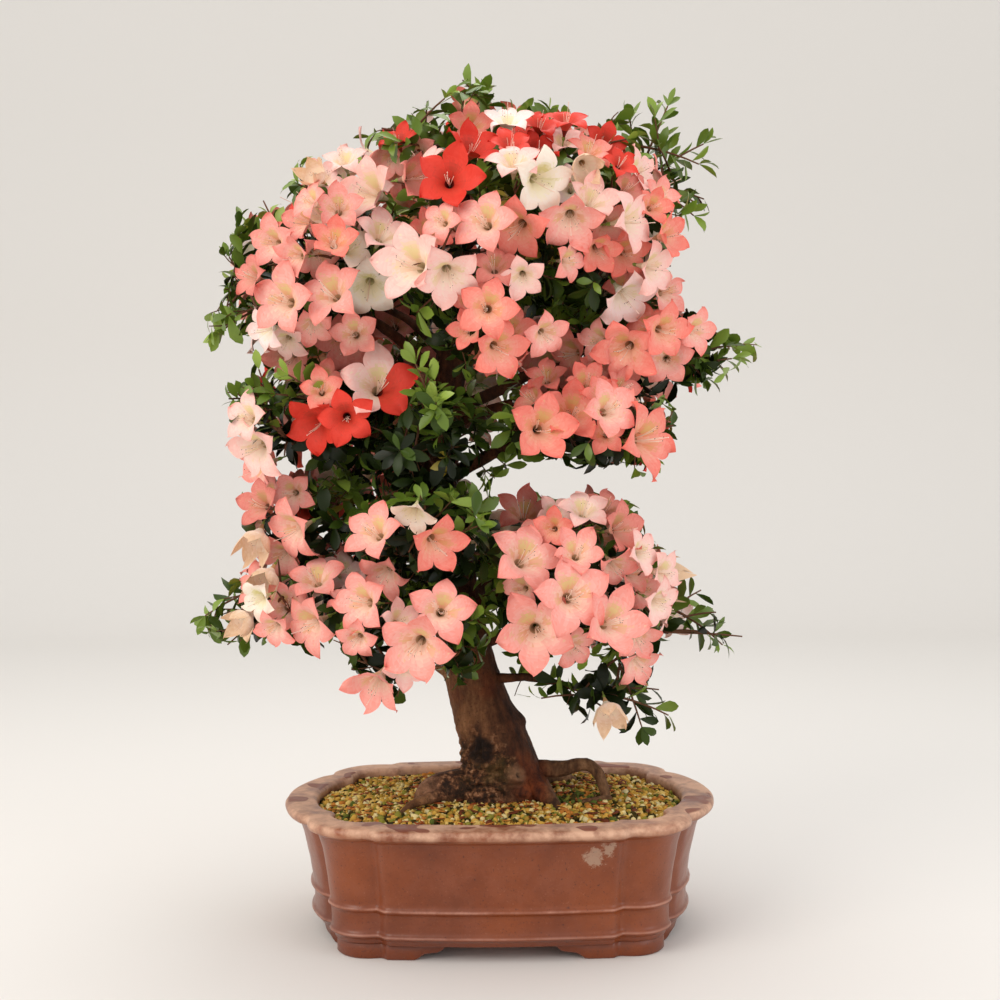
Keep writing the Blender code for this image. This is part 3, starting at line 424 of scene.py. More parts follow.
def piece(name, form, finishes, nodes, smooth=True):
    """A piece of the scene from a shape, riding on the whole part."""
    mesh = bpy.data.meshes.new(name)
    mesh.vertices.add(len(form.points))
    mesh.vertices.foreach_set("co", (form.points + POT).astype(np.float32).ravel())
    mesh.loops.add(form.faces.size)
    mesh.loops.foreach_set("vertex_index", form.faces.astype(np.int32).ravel())
    mesh.polygons.add(len(form.faces))
    mesh.polygons.foreach_set("loop_start", np.arange(0, form.faces.size, 3, dtype=np.int32))
    for finish in finishes:
        mesh.materials.append(finish)
    mesh.polygons.foreach_set("material_index", form.tones.astype(np.int32))
    mesh.update(calc_edges=True)
    mesh.validate()
    if smooth:
        mesh.shade_smooth()
    made = add_object(name, mesh)
    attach(made, "root")
    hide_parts(*nodes)


# Materials
def plain(name, colour, roughness, specular=0.5):
    """A material of one colour."""
    made = bpy.data.materials.new(name)
    made.use_nodes = True
    shader = made.node_tree.nodes["Principled BSDF"]
    shader.inputs["Base Color"].default_value = (*linear(colour), 1.0)
    shader.inputs["Roughness"].default_value = roughness
    shader.inputs["Specular IOR Level"].default_value = specular
    return made


class Finish:
    """A material in the making: its nodes, where each point is, and the colour laid on so far."""

    def __init__(self, name, specular=0.5):
        self.made = bpy.data.materials.new(name)
        self.made.use_nodes = True
        self.tree = self.made.node_tree
        self.shader = self.tree.nodes["Principled BSDF"]
        self.shader.inputs["Specular IOR Level"].default_value = specular
        self.place = self.tree.nodes.new("ShaderNodeTexCoord").outputs["Object"]
        self.base = None

    def feed(self, socket, value):
        """Sets a socket to a value or to a colour, or links it from another node's output."""
        if isinstance(value, bpy.types.NodeSocket):
            self.tree.links.new(value, socket)
        else:
            socket.default_value = (*linear(value), 1.0) if isinstance(value, str) else value

    def node(self, kind, output, inputs, **settings):
        """The output of a new node with its settings and inputs."""
        node = self.tree.nodes.new("ShaderNode" + kind)
        for name, value in settings.items():
            setattr(node, name, value)
        for name, value in inputs.items():
            self.feed(node.inputs[name], value)
        return node.outputs[output]

    def axis(self, letter):
        return self.node("SeparateXYZ", letter, {"Vector": self.place})

    def noise(self, scale, detail=4.0, rough=0.6, place=None):
        place = self.place if place is None else place
        inputs = {"Vector": place, "Scale": scale, "Detail": detail, "Roughness": rough}
        return self.node("TexNoise", "Fac", inputs)

    def ramp(self, share, *stops):
        """Colours by a share from 0 to 1: pairs of a place and a colour."""
        node = self.tree.nodes.new("ShaderNodeValToRGB")
        self.feed(node.inputs["Fac"], share)
        band = node.color_ramp
        while len(band.elements) < len(stops):
            band.elements.new(0.5)
        for element, (place, colour) in zip(band.elements, stops):
            element.position, element.color = place, (*linear(colour), 1.0)
        return node.outputs["Color"]

    def mix(self, share, first, second, blend="MIX"):
        inputs = {0: share, 6: first, 7: second}
        return self.node("Mix", 2, inputs, data_type="RGBA", blend_type=blend)

    def math(self, operation, first, second=0.0):
        return self.node("Math", 0, {0: first, 1: second}, operation=operation)

    def times(self, first, second):
        return self.math("MULTIPLY", first, second)

    def plus(self, first, second):
        return self.math("ADD", first, second)

    def within(self, value, low, high):
        """How far a value has gone from low to high, from 0 to 1."""
        inputs = {"Value": value, "From Min": low, "From Max": high}
        return self.node("MapRange", "Result", inputs, clamp=True)

    def up_between(self, height, low, high):
        """The same for a height over the pot's feet."""
        return self.within(height, low + POT[2], high + POT[2])

    def near(self, centre, radius):
        """One at a place, and none beyond a radius of it."""
        centre = tuple(float(value) for value in np.array(centre) + POT)
        away = self.node("VectorMath", "Value", {0: self.place, 1: centre}, operation="DISTANCE")
        return self.math("SUBTRACT", 1.0, self.within(away, 0.25 * radius, radius))

    def lay(self, share, colour, strength=None):
        """Lays a colour over what is there, by a share and a strength."""
        self.base = self.mix(share if strength is None else self.times(share, strength), self.base, colour)

    def bump(self, height, distance, below=None):
        inputs = {"Height": height, "Distance": distance, "Strength": 1.0}
        return self.node("Bump", "Normal", inputs | ({"Normal": below} if below else {}))

    def done(self, roughness, normal):
        """The material, with the colour laid on, its roughness and its relief."""
        for name, value in (("Base Color", self.base), ("Roughness", roughness), ("Normal", normal)):
            self.feed(self.shader.inputs[name], value)
        return self.made


def clay_finish():
    """Red-brown unglazed clay with a dull shine, dusty and worn at the lip with a painted sheen on it,
    painted highlights on the bead crests, darker towards the bottom, and a splash of lime.
    """
    clay = Finish("fired_clay")
    height = clay.axis("Z")
    cloud, dapple, fine = clay.noise(11.0, 5.0), clay.noise(46.0, 6.0, 0.65), clay.noise(520.0, 3.0)
    clay.base = clay.ramp(cloud, (0.34, "#6B3115"), (0.50, "#7B3916"), (0.66, "#8C441A"))
    clay.lay(clay.within(dapple, 0.46, 0.66), "#87492F", 0.5)
    clay.lay(clay.within(fine, 0.38, 0.30), "#4A2016", 0.8)
    clay.lay(clay.within(fine, 0.64, 0.72), "#B27A5E", 0.25)
    # Dust on the lip, made lighter still to serve as a painted sheen on its front edge
    dust_and_sheen = clay.times(clay.up_between(height, 0.1085, 0.1165), clay.within(dapple, 0.30, 0.60))
    clay.lay(dust_and_sheen, "#E2B698", 0.84)
    # Painted highlights along the crests of the two beads
    for crest in BEAD_CREST_HIGHLIGHTS:
        gap = clay.math("ABSOLUTE", clay.math("SUBTRACT", height, crest + POT[2]))
        crown = clay.times(clay.within(gap, 0.0014, 0.0003), clay.within(dapple, 0.30, 0.62))
        clay.lay(crown, "#D8A08A", 0.45)
    patch = clay.within(clay.noise(26.0, 1.0), 0.60, 0.61)
    clay.lay(clay.times(clay.up_between(height, 0.1195, 0.1203), patch), "#78341F", 0.85)
    splash = clay.math("MAXIMUM", *(clay.near(*spot) for spot in LIME_SPOTS))
    ragged = clay.times(clay.noise(130.0, 8.0, 0.75), 1.9)
    stain = clay.within(clay.plus(splash, ragged), 1.50, 1.66)
    stain = clay.times(stain, clay.within(splash, 0.02, 0.10))
    clay.lay(stain, "#C9B49C", 0.42)
    # Darker towards the bottom, below the lower bead
    lower_darkening = clay.times(clay.up_between(height, 0.046, 0.014), clay.within(dapple, 0.36, 0.60))
    clay.lay(lower_darkening, "#632C1C", 0.4)
    rough = clay.node("MapRange", "Result", {"Value": dapple, "To Min": 0.22, "To Max": 0.40})
    rough = clay.plus(rough, clay.times(clay.plus(dust_and_sheen, stain), 0.28))
    return clay.done(rough, clay.bump(fine, 0.00010, clay.bump(dapple, 0.0004)))


def soil_finish():
    """Dark, moist soil under the granules."""
    soil = Finish("soil_bed", 0.3)
    soil.base = soil.ramp(soil.noise(60.0, 6.0, 0.7), (0.30, "#1F1A0C"), (0.52, "#3B3418"), (0.72, "#5C5226"))
    soil.lay(soil.within(soil.noise(22.0, 4.0), 0.52, 0.64), "#3F4F1C")
    return soil.done(0.9, soil.bump(soil.noise(300.0, 4.0), 0.0008))


def bark_finish():
    """Tan-brown bark, red low on the right, with a dark mossy rough patch low on the left; painted light on
    its left, painted shade on its right and up under the crown, and painted shade in the hollow and the
    burl's hole.
    """
    bark = Finish("bark", 0.3)
    side, height = bark.axis("X"), bark.axis("Z")
    along = bark.node("Mapping", "Vector", {"Vector": bark.place, "Scale": (1.0, 1.0, 0.35)})
    streak, cloud = bark.noise(95.0, 7.0, 0.68, along), bark.noise(22.0, 5.0)
    fine, patch = bark.noise(420.0, 6.0, 0.75), bark.noise(150.0, 6.0, 0.7)
    # Lit and shaded copies of the bark's colours, mixed across the trunk as painted light and shade
    light, dark = (bark.ramp(streak, *zip((0.32, 0.45, 0.57, 0.72), colours)) for colours in BARK_LIT_AND_SHADED)
    aside = bark.plus(bark.plus(side, bark.times(height, TRUNK_LEAN)), bark.times(cloud, 0.030))
    bark.base = bark.mix(bark.within(aside, *LIT_SIDE), light, dark)
    # Painted shade on the trunk as it goes up under the crown
    bark.lay(bark.up_between(height, 0.26, 0.36), dark, 0.6)
    bark.lay(bark.within(cloud, 0.52, 0.64), bark.mix(streak, "#4E2414", "#A0603C"), 0.45)
    ruddy = bark.mix(bark.within(streak, 0.36, 0.62), "#401A0D", "#8E4E28")
    bark.lay(bark.near((0.030, -0.030, 0.130), 0.040), ruddy, 0.75)
    pale_root = bark.mix(bark.within(patch, 0.36, 0.62), "#5A4236", "#A08678")
    bark.lay(bark.near((-0.062, -0.026, 0.132), 0.034), pale_root, 0.75)
    bark.lay(bark.within(fine, 0.44, 0.36), "#2C1B12", 0.75)
    rough_patch = bark.near((-0.022, -0.036, 0.146), 0.060)
    moss = bark.within(bark.plus(rough_patch, bark.noise(60.0, 6.0, 0.7)), 0.84, 1.16)
    lichen = bark.ramp(patch, (0.40, "#140C07"), (0.48, "#3C281A"), (0.55, "#7A5A42"), (0.64, "#C0A288"))
    green = bark.times(bark.within(cloud, 0.54, 0.64), 0.6)
    bark.lay(moss, bark.mix(green, lichen, bark.mix(patch, "#2A2410", "#6E6A3A")), 0.9)
    # Painted shade: near-black in the hollow
    bark.lay(bark.within(bark.plus(bark.near(HOLLOW_PLACE, 0.020), patch), 0.90, 1.15), "#170E08", 0.85)
    root = bark.times(bark.within(side, 0.040 + POT[0], 0.052 + POT[0]), 0.8)
    grey = bark.ramp(streak, (0.36, "#3C2C1E"), (0.50, "#6E5842"), (0.64, "#9A846A"))
    bark.lay(root, grey, bark.up_between(height, 0.180, 0.170))
    bark.lay(bark.near(BURL_PLACE, 0.012), bark.mix(patch, "#6A5646", "#B09A84"), 0.85)
    # Painted shade: near-black in the burl's hole
    bark.lay(bark.near(BURL_HOLE, 0.0034), "#0E0A07")
    # Darker and greener towards the soil at the trunk's foot
    darkened = bark.times(bark.up_between(height, 0.146, 0.118), bark.within(cloud, 0.44, 0.60))
    bark.lay(darkened, "#33301A", 0.6)
    bark.base = bark.mix(1.0, bark.base, "#FCDCC2", "MULTIPLY")
    return bark.done(0.8, bark.bump(patch, 0.0020, bark.bump(fine, 0.0007, bark.bump(streak, 0.0012))))


# The pot
def arc(start, end, rise, parts):
    """Points from start up to the one before end, on an arc that bulges out by rise."""
    start, end = np.array(start, float), np.array(end, float)
    chord = end - start
    half = np.linalg.norm(chord) / 2
    outward = np.array([chord[1], -chord[0]]) / (2 * half)
    radius = (half * half + rise * rise) / (2 * rise)
    centre = (start + end) / 2 - outward * (radius - rise)
    reach = math.asin(half / radius)
    along = chord / (2 * half)
    turns = [-reach + 2 * reach * part / parts for part in range(parts)]
    return [centre + radius * (math.cos(turn) * outward + math.sin(turn) * along) for turn in turns]


def pot_outline(inset):
    """The pot's four-lobed plan, drawn in by inset from the lip, with its grooves softened."""
    step_x = STEP_X - STEP_DRAW * inset
    step_y = POT_HALF_DEPTH - PANEL_RISE - inset
    notch_x = NOTCH_X - NOTCH_DRAW_X * inset
    notch_y = NOTCH_Y - NOTCH_DRAW_Y * inset
    end_rise = POT_HALF_WIDTH - inset - notch_x
    corners = (
        ((-step_x, -step_y), PANEL_RISE, PANEL_PARTS),
        ((step_x, -step_y), CORNER_RISE, CORNER_PARTS),
        ((notch_x, -notch_y), end_rise, END_PARTS),
        ((notch_x, notch_y), CORNER_RISE, CORNER_PARTS),
        ((step_x, step_y), PANEL_RISE, PANEL_PARTS),
        ((-step_x, step_y), CORNER_RISE, CORNER_PARTS),
        ((-notch_x, notch_y), end_rise, END_PARTS),
        ((-notch_x, -notch_y), CORNER_RISE, CORNER_PARTS),
    )
    outline = []
    for index, (start, rise, parts) in enumerate(corners):
        outline += arc(start, corners[(index + 1) % len(corners)][0], rise, parts)
    outline = np.array(outline)
    ahead = np.linalg.norm(np.roll(outline, -1, axis=0) - outline, axis=1)
    gone, around = np.cumsum(ahead) - ahead, ahead.sum()
    deep, at = np.zeros(len(outline)), 0
    for index, (_, _, parts) in enumerate(corners):
        past = (gone - gone[at] + around / 2) % around - around / 2
        if index in STEPPED_CORNERS:
            back = np.where(past * (-1) ** index < 0, np.exp(-((past / STEP_WIDTH) ** 2)), 0)
            deep += STEP_BACK * back
        else:
            deep += NOTCH_GROOVE * np.exp(-((past / NOTCH_WIDTH) ** 2))
        at += parts
    tangent = units(np.roll(outline, -1, axis=0) - np.roll(outline, 1, axis=0))
    outline = outline - deep[:, None] * np.column_stack([tangent[:, 1], -tangent[:, 0]])
    for _ in range(CREASE_ROUNDS):
        outline = outline / 2 + (np.roll(outline, 1, axis=0) + np.roll(outline, -1, axis=0)) / 4
    return outline


def level(outline, height):
    return np.column_stack([outline, np.full(len(outline), height)])


def evenly(path, step):
    """Points along a path of straight runs, about a step apart, its own corners left out."""
    path = np.asarray(path, float)
    gone = run_lengths(path)
    marks = np.linspace(0, gone[-1], max(2, round(gone[-1] / step) + 1))
    return np.column_stack([np.interp(marks, gone, path[:, axis]) for axis in range(path.shape[1])])


def soften(path, rounds):
    """The path with its corners rounded a little, its ends kept."""
    for _ in range(rounds):
        path[1:-1] = path[1:-1] / 2 + (path[:-2] + path[2:]) / 4
    return path


def foot_path(inset):
    """The stretch of the plan that the front right foot follows, and how far along it each point lies."""
    outline = pot_outline(inset)
    corner = outline[PANEL_PARTS : PANEL_PARTS + CORNER_PARTS + END_PARTS]
    path = [point for point in corner if point[1] < -FOOT_REACH_END]
    path = np.array([np.array([FOOT_REACH_FRONT, path[0][1] - PANEL_RISE / 2]), *path])
    return path, run_lengths(path)


def foot_shape(flip_x, flip_y):
    """One bracket foot: a strip under the corner lobe with scrolled ends and a rounded edge."""
    outer, gone = foot_path(FOOT_INSET)
    inner, inner_gone = foot_path(FOOT_INSET + FOOT_THICKNESS)
    rings = []
    for mark in np.linspace(0, gone[-1], round(gone[-1] / FOOT_STEP)):
        low = np.interp(min(mark, gone[-1] - mark), *zip(*FOOT_SCROLL))
        out = np.array([np.interp(mark, gone, outer[:, axis]) for axis in (0, 1)])
        share = mark / gone[-1] * inner_gone[-1]
        back = np.array([np.interp(share, inner_gone, inner[:, axis]) for axis in (0, 1)])
        into = (back - out) * FOOT_ROUNDING / FOOT_THICKNESS
        ring = [
            (*(out + into), low), (*out, low + FOOT_ROUNDING), (*(out + into / 2), FOOT_TOP),
            (*back, FOOT_TOP), (*back, low + FOOT_ROUNDING), (*(back - into), low),
        ]
        rings.append([(flip_x * x, flip_y * y, z) for x, y, z in ring])
    made = capped_skin(rings)
    return Shape(made.points, made.faces[:, ::-1] if flip_x * flip_y > 0 else made.faces, made.tones)


def pot_shape():
    """Wall, lip, bands and floor in one skin, slightly uneven and chipped at the lip, on four feet."""
    rows = soften(evenly(POT_OUTSIDE, PROFILE_STEP), PROFILE_ROUNDS)
    rows = np.concatenate([rows, [POT_INSIDE]])
    rings = np.array([level(pot_outline(inset), height) for height, inset in rows])
    made = capped_skin(rings)
    points = made.points
    outward = units(points * [1, 1, 0])
    uneven = wave_noise(points * 45, 3) + 0.5 * wave_noise(points * 130, 4)
    at_lip = np.exp(-(((points[:, 2] - 0.1150) / 0.0045) ** 2))
    chips = np.clip(wave_noise(points * 95, 5) - 0.55, 0, 1) / 0.45
    points = points + outward * (POT_UNEVEN * uneven - CHIP_DEPTH * chips * at_lip)[:, None]
    signs = ((1, 1), (-1, 1), (1, -1), (-1, -1))
    return join([shape(points, made.faces), *(foot_shape(*sign) for sign in signs)])


# The soil
def soil_level(points):
    """The height of the soil's surface at each place in plan."""
    middle = np.array(TRUNK[0][:2])
    away = points - middle
    distance = np.linalg.norm(away, axis=1)
    turn = np.arctan2(away[:, 1], away[:, 0])
    wall = pot_outline(SOIL_WALL_INSET) - middle
    wall_turn = np.arctan2(wall[:, 1], wall[:, 0])
    order = np.argsort(wall_turn)
    reach = np.interp(turn, wall_turn[order], np.linalg.norm(wall, axis=1)[order], period=2 * math.pi)
    share = (distance - SOIL_CROWN_RADIUS) / (reach - SOIL_CROWN_RADIUS)
    shoulder = SOIL_EDGE + SOIL_SHOULDER_UP * (SOIL_TOP - SOIL_EDGE)
    height = np.interp(share, [0, SOIL_SHOULDER_OUT, 1], [SOIL_TOP, shoulder, SOIL_EDGE])
    return height, distance / reach


def soil_bed():
    """The bed of soil between the granules."""
    wall = pot_outline(SOIL_WALL_INSET)
    middle = np.array(TRUNK[0][:2])
    rings = []
    for share in np.linspace(1.0, SOIL_INNER_RING, SOIL_RINGS):
        plan = middle + share * (wall - middle)
        height = soil_level(plan)[0] - SOIL_SINK
        rings.append(np.column_stack([plan, height]))
    rings = np.array(rings)
    flat = rings.reshape(-1, 3)
    flat[:, 2] += SOIL_UNEVEN * wave_noise(flat * 160, 11) + SOIL_UNEVEN * wave_noise(flat * 50, 12)
    return shape(flat, grid_faces(*rings.shape[:2], True))


def icosahedron():
    """Twelve points and twenty faces."""
    golden = (1 + math.sqrt(5)) / 2
    points = [(0, s, t * golden) for s in (-1, 1) for t in (-1, 1)]
    points += [(s, t * golden, 0) for s in (-1, 1) for t in (-1, 1)]
    points += [(t * golden, 0, s) for s in (-1, 1) for t in (-1, 1)]
    points = units(np.array(points, float))
    edge = np.min(np.linalg.norm(points[1:] - points[0], axis=1)) * 1.01
    faces = []
    for a in range(12):
        for b in range(a + 1, 12):
            for c in range(b + 1, 12):
                trio = points[[a, b, c]]
                if max(np.linalg.norm(trio - np.roll(trio, 1, axis=0), axis=1)) < edge:
                    outward = np.dot(np.cross(trio[1] - trio[0], trio[2] - trio[0]), trio.mean(axis=0)) > 0
                    faces.append((a, b, c) if outward else (a, c, b))
    return shape(points, faces)


def random_frames(seeded, count):
    """Turns at random, as rows X, Y and Z."""
    first = units(seeded.normal(size=(count, 3)))
    second = seeded.normal(size=(count, 3))
    second = units(second - first * (first * second).sum(axis=1, keepdims=True))
    return np.stack([first, second, np.cross(first, second)], axis=1)


GRANULE_COLOURS = (
    ("#CCA048", 0.20), ("#DCBC6C", 0.16), ("#E4D094", 0.13), ("#A88436", 0.14), ("#BC7834", 0.08),
    ("#423816", 0.12), ("#8A8436", 0.11), ("#D2C492", 0.04), ("#58632A", 0.03),
)
GRANULE_KINDS = 9
GRANULE_FLATNESS = 1.0, 0.85, 0.75
GRANULE_SINK, GRANULE_LIFT = 0.0022, 0.0016
COARSE_SHARE, COARSE_SIZE = 0.12, 1.35
SOIL_REACH, CHIP_REACH = 0.985, 0.93
CHIP_COLOURS = "#A04E20", "#6E3418", "#C07A34"
CHIP_HALF = (0.0024, 0.0064)
CHIP_OUTLINE = (-1, -0.2), (-0.5, -0.42), (0.4, -0.38), (1, 0.0), (0.5, 0.40), (-0.4, 0.36)
CHIP_THICKNESS, CHIP_LIFT = 0.10, 0.0008
OFF_TRUNK = 0.036
# The spot under the arched root, and the darker granules in it: painted shade, with some mossy granules
ARCH_SHADE_PLACE, ARCH_SHADE_RADIUS, SHADE_AND_MOSS_TONES = (0.074, -0.020), 0.030, (5, 5, 8, 8, 6, 4)


def soil_places(seeded, count, edge):
    """Places in plan all over the soil to its edge, off the trunk."""
    found = []
    while sum(map(len, found)) < count:
        tries = seeded.uniform(-1, 1, (count * 2, 2)) * [POT_HALF_WIDTH, POT_HALF_DEPTH]
        share = soil_level(tries)[1]
        off_trunk = np.linalg.norm(tries - np.array(TRUNK[0][:2]), axis=1) > OFF_TRUNK
        found.append(tries[(share < edge) & off_trunk])
    return np.concatenate(found)[:count]


def granules(seeded):
    """Baked-clay granules of several sizes and colours, heaped on the bed."""
    plan = soil_places(seeded, GRANULES, SOIL_REACH)
    height = soil_level(plan)[0]
    size = seeded.uniform(*GRANULE_HALF, GRANULES)
    size = size * np.where(seeded.random(GRANULES) < COARSE_SHARE, COARSE_SIZE, 1.0)
    place = np.column_stack([plan, height - GRANULE_SINK + seeded.uniform(0, GRANULE_LIFT, GRANULES)])
    kinds = seeded.integers(0, GRANULE_KINDS, GRANULES)
    tones = seeded.choice(len(GRANULE_COLOURS), GRANULES, p=shares_of(GRANULE_COLOURS)[1])
    # Painted shade under the arched root: the granules there darker, some of them mossy
    reach = ARCH_SHADE_RADIUS * seeded.uniform(0.6, 1.2, GRANULES)
    darkened = np.linalg.norm(plan - np.array(ARCH_SHADE_PLACE), axis=1) < reach
    tones = np.where(darkened, seeded.choice(SHADE_AND_MOSS_TONES, GRANULES), tones)
    ball = icosahedron()
    shapes = []
    for kind in range(GRANULE_KINDS):
        uneven = ball.points * seeded.uniform(0.72, 1.18, (12, 1)) * GRANULE_FLATNESS
        mine = kinds == kind
        frames = random_frames(seeded, int(mine.sum())) * size[mine][:, None, None]
        made = stamp(ball._replace(points=uneven), frames, place[mine])
        shapes.append(made._replace(tones=np.repeat(tones[mine], len(ball.faces))))
    return join(shapes)


def chips(seeded):
    """Flat flakes of bark and dead leaves lying on the granules."""
    plan = soil_places(seeded, CHIPS, CHIP_REACH)
    height = soil_level(plan)[0] + CHIP_LIFT
    turn = seeded.uniform(0, 2 * math.pi, CHIPS)
    along = units(np.column_stack([np.cos(turn), np.sin(turn), seeded.normal(0, 0.12, CHIPS)]))
    side = units(np.cross(UP + seeded.normal(0, 0.2, (CHIPS, 3)), along))
    frames = np.stack([along, side, np.cross(along, side)], axis=1)
    frames *= seeded.uniform(*CHIP_HALF, CHIPS)[:, None, None]
    rim = [(x, y, z) for z in (0.0, CHIP_THICKNESS) for x, y in CHIP_OUTLINE]
    faces = [(6, 7 + at, 8 + at) for at in range(4)] + [(0, 2 + at, 1 + at) for at in range(4)]
    for at in range(6):
        after = (at + 1) % 6
        faces += [(at, after, 6 + after), (at, 6 + after, 6 + at)]
    made = stamp(shape(rim, faces), frames, np.column_stack([plan, height]))
    tones = len(GRANULE_COLOURS) + seeded.integers(0, len(CHIP_COLOURS), CHIPS)
    return made._replace(tones=np.repeat(tones, len(faces)))


def make_soil():
    seeded = np.random.default_rng(SEED)
    piece("soil_bed", soil_bed(), [soil_finish()], ["soil"])
    finishes = [plain(f"granule_{at}", colour, 0.95, 0.12) for at, (colour, _) in enumerate(GRANULE_COLOURS)]
    finishes += [plain(f"chip_{at}", colour, 0.85, 0.25) for at, colour in enumerate(CHIP_COLOURS)]
    piece("granules", join([granules(seeded), chips(seeded)]), finishes, ["soil"], smooth=False)


# The trunk, its roots and the boughs
def smooth_stations(stations, steps):
    """A smooth run through the stations, with this many steps from one to the next."""
    rows = [np.array(station, float) for station in stations]
    rows = [2 * rows[0] - rows[1], *rows, 2 * rows[-1] - rows[-2]]
    run = []
    for before, start, end, after in zip(rows, rows[1:], rows[2:], rows[3:]):
        for step in range(steps):
            t = step / steps
            bend = 2 * before - 5 * start + 4 * end - after
            turn = 3 * start - before - 3 * end + after
            run.append(start + 0.5 * t * ((end - before) + t * (bend + t * turn)))
    return np.array(run + [rows[-2]])


def flare_fade(height):
    return np.maximum(0.0, 1 - (height - TRUNK_FOOT) / FLARE_HEIGHT) ** 2


def flare(turn, height):
    """How much wider the trunk is than its round at this turn, near the soil."""
    swell = sum(np.exp(-((apart(turn, direction) / FLARE_WIDTH) ** 2)) for direction in FLARE_DIRECTIONS)
    return 1 + FLARE_SWELL * flare_fade(height) * swell


def bark_relief(points, along):
    """How far bark stands out at each point: ridges drawn out along the limb, and flakes on them."""
    drawn = points * 1.0
    drawn[:, 2] = along * 0.30
    ridge = 1 - 2 * np.abs(wave_noise(drawn * 170, 21))
    coarse = wave_noise(drawn * 75, 22)
    flake = wave_noise(drawn * [420, 420, 700], 23)
    return BARK_RIDGE * (0.35 * ridge + 0.65 * coarse) + BARK_FLAKE * flake


def trunk_shape():
    """The trunk with its root flare, knots and flaking bark."""
    rows = smooth_stations(TRUNK, TRUNK_FINE_STEPS)
    slope = rows[1] - rows[0]
    sunk = [rows[0] - slope * step for step in range(TRUNK_SUNK_STEPS, 0, -1)]
    rows = np.concatenate([sunk, rows])
    turns = ring_turns(TRUNK_SIDES)
    height = rows[:, 2][:, None]
    radius = rows[:, 3][:, None] / 2 * flare(turns[None], height)
    out = np.stack([np.cos(turns), np.sin(turns), np.zeros(TRUNK_SIDES)], -1)
    centre = rows[:, :3][:, None]
    rounded = (centre + out[None] * radius[..., None]).reshape(-1, 3)
    relief = bark_relief(rounded, rounded[:, 2]).reshape(radius.shape) * np.clip(radius / 0.016, 0.35, 1.0)
    for knot in KNOTS:
        aside = np.radians(apart(turns, knot.turn))[None] * radius
        relief = relief + knot.out * np.exp(-(aside**2 + (height - knot.height) ** 2) / knot.width**2)
    around = apart(turns, ROUGH_TURN)[None]
    rough = np.exp(-((around / ROUGH_REACH[0]) ** 2) - ((height - ROUGH_HEIGHT) / ROUGH_REACH[1]) ** 2)
    lumps = np.abs(wave_noise(rounded * 150, 25)) + 0.6 * np.abs(wave_noise(rounded * 330, 26))
    relief = relief + ROUGH_RISE * rough * (lumps.reshape(radius.shape) - 0.35)
    flutes = wave_noise(np.column_stack([rounded[:, :2] * 38, rounded[:, 2] * 9]), 24).reshape(radius.shape)
    relief = relief + TRUNK_FLUTES * flutes * np.clip(radius / 0.020, 0.2, 1.2)
    return capped_skin(centre + out[None] * (radius + relief)[..., None])


def trunk_at(height):
    """The trunk's middle at a height."""
    rows = smooth_stations(TRUNK, TRUNK_STEPS)
    x, y = (np.interp(height, rows[:, 2], rows[:, axis]) for axis in (0, 1))
    return np.array([x, y, height])


def across(heading):
    """Two directions square to the heading and to each other."""
    helper = UP if abs(heading[2]) < 0.9 else np.array([1.0, 0.0, 0.0])
    side = unit(np.cross(helper, heading))
    return side, np.cross(heading, side)


def tube_rings(points, radii, sides):
    """Rings along a path, carried on without twist."""
    points = np.asarray(points, float)
    headings = units(np.gradient(points, axis=0))
    side = across(headings[0])[0]
    turns = ring_turns(sides)
    rings = []
    for point, radius, heading in zip(points, radii, headings):
        side = unit(side - heading * np.dot(side, heading))
        up = np.cross(heading, side)
        rings.append(point + radius * (np.cos(turns)[:, None] * side + np.sin(turns)[:, None] * up))
    return np.array(rings)


def limb_shape(points, radii, seed):
    """A bough or root with bark, wandering a little off its course."""
    path = evenly(points, LIMB_STEP)
    gone = np.linspace(0, 1, len(path))
    radii = np.interp(gone, np.linspace(0, 1, len(radii)), radii)
    wander = np.column_stack([wave_noise(path * 28 + 7 * axis, seed + axis) for axis in range(3)])
    path = path + LIMB_WANDER * wander * np.sin(math.pi * np.clip(gone * 1.2, 0, 1))[:, None]
    rings = tube_rings(path, radii, LIMB_SIDES)
    flat = rings.reshape(-1, 3)
    relief = 0.8 * bark_relief(flat * 1.0, np.repeat(gone * len(path) * LIMB_STEP, LIMB_SIDES))
    size = np.repeat(radii, LIMB_SIDES)
    swell = LIMB_SWELL * wave_noise(flat * 60, seed + 3) * size
    outward = units(flat - np.repeat(path, LIMB_SIDES, axis=0))
    flat = flat + outward * (relief * np.clip(size / 0.006, 0.15, 1.0) + swell)[:, None]
    return capped_skin(flat.reshape(rings.shape))


# The space of each mass
def size_squared(name):
    return math.prod(MASSES[name].half) ** (2 / 3)


def cell_planes(name):
    """The planes between this mass's space and every other's: outward directions and offsets."""
    centre = np.array(MASSES[name].centre)
    directions, offsets = [], []
    for other, row in MASSES.items():
        if other != name:
            there = np.array(row.centre)
            distance = np.linalg.norm(there - centre)
            directions.append((there - centre) / distance)
            balance = there @ there - centre @ centre + size_squared(name) - size_squared(other)
            offsets.append(balance / (2 * distance))
    return np.array(directions), np.array(offsets)


class Space:
    """The room that one mass keeps to: its own rounded form, inside the planes to its neighbours."""

    def __init__(self, name):
        self.centre, self.half = np.array(MASSES[name].centre), np.array(MASSES[name].half)
        self.directions, self.offsets = cell_planes(name)

    def between_planes(self, points, margin=CELL_MARGIN):
        return bool((np.atleast_2d(points) @ self.directions.T <= self.offsets - margin).all())

    def holds(self, points, margin=CELL_MARGIN):
        away = (np.atleast_2d(points) - self.centre) / self.half
        return bool((np.linalg.norm(away, axis=1) <= 1).all()) and self.between_planes(points, margin)


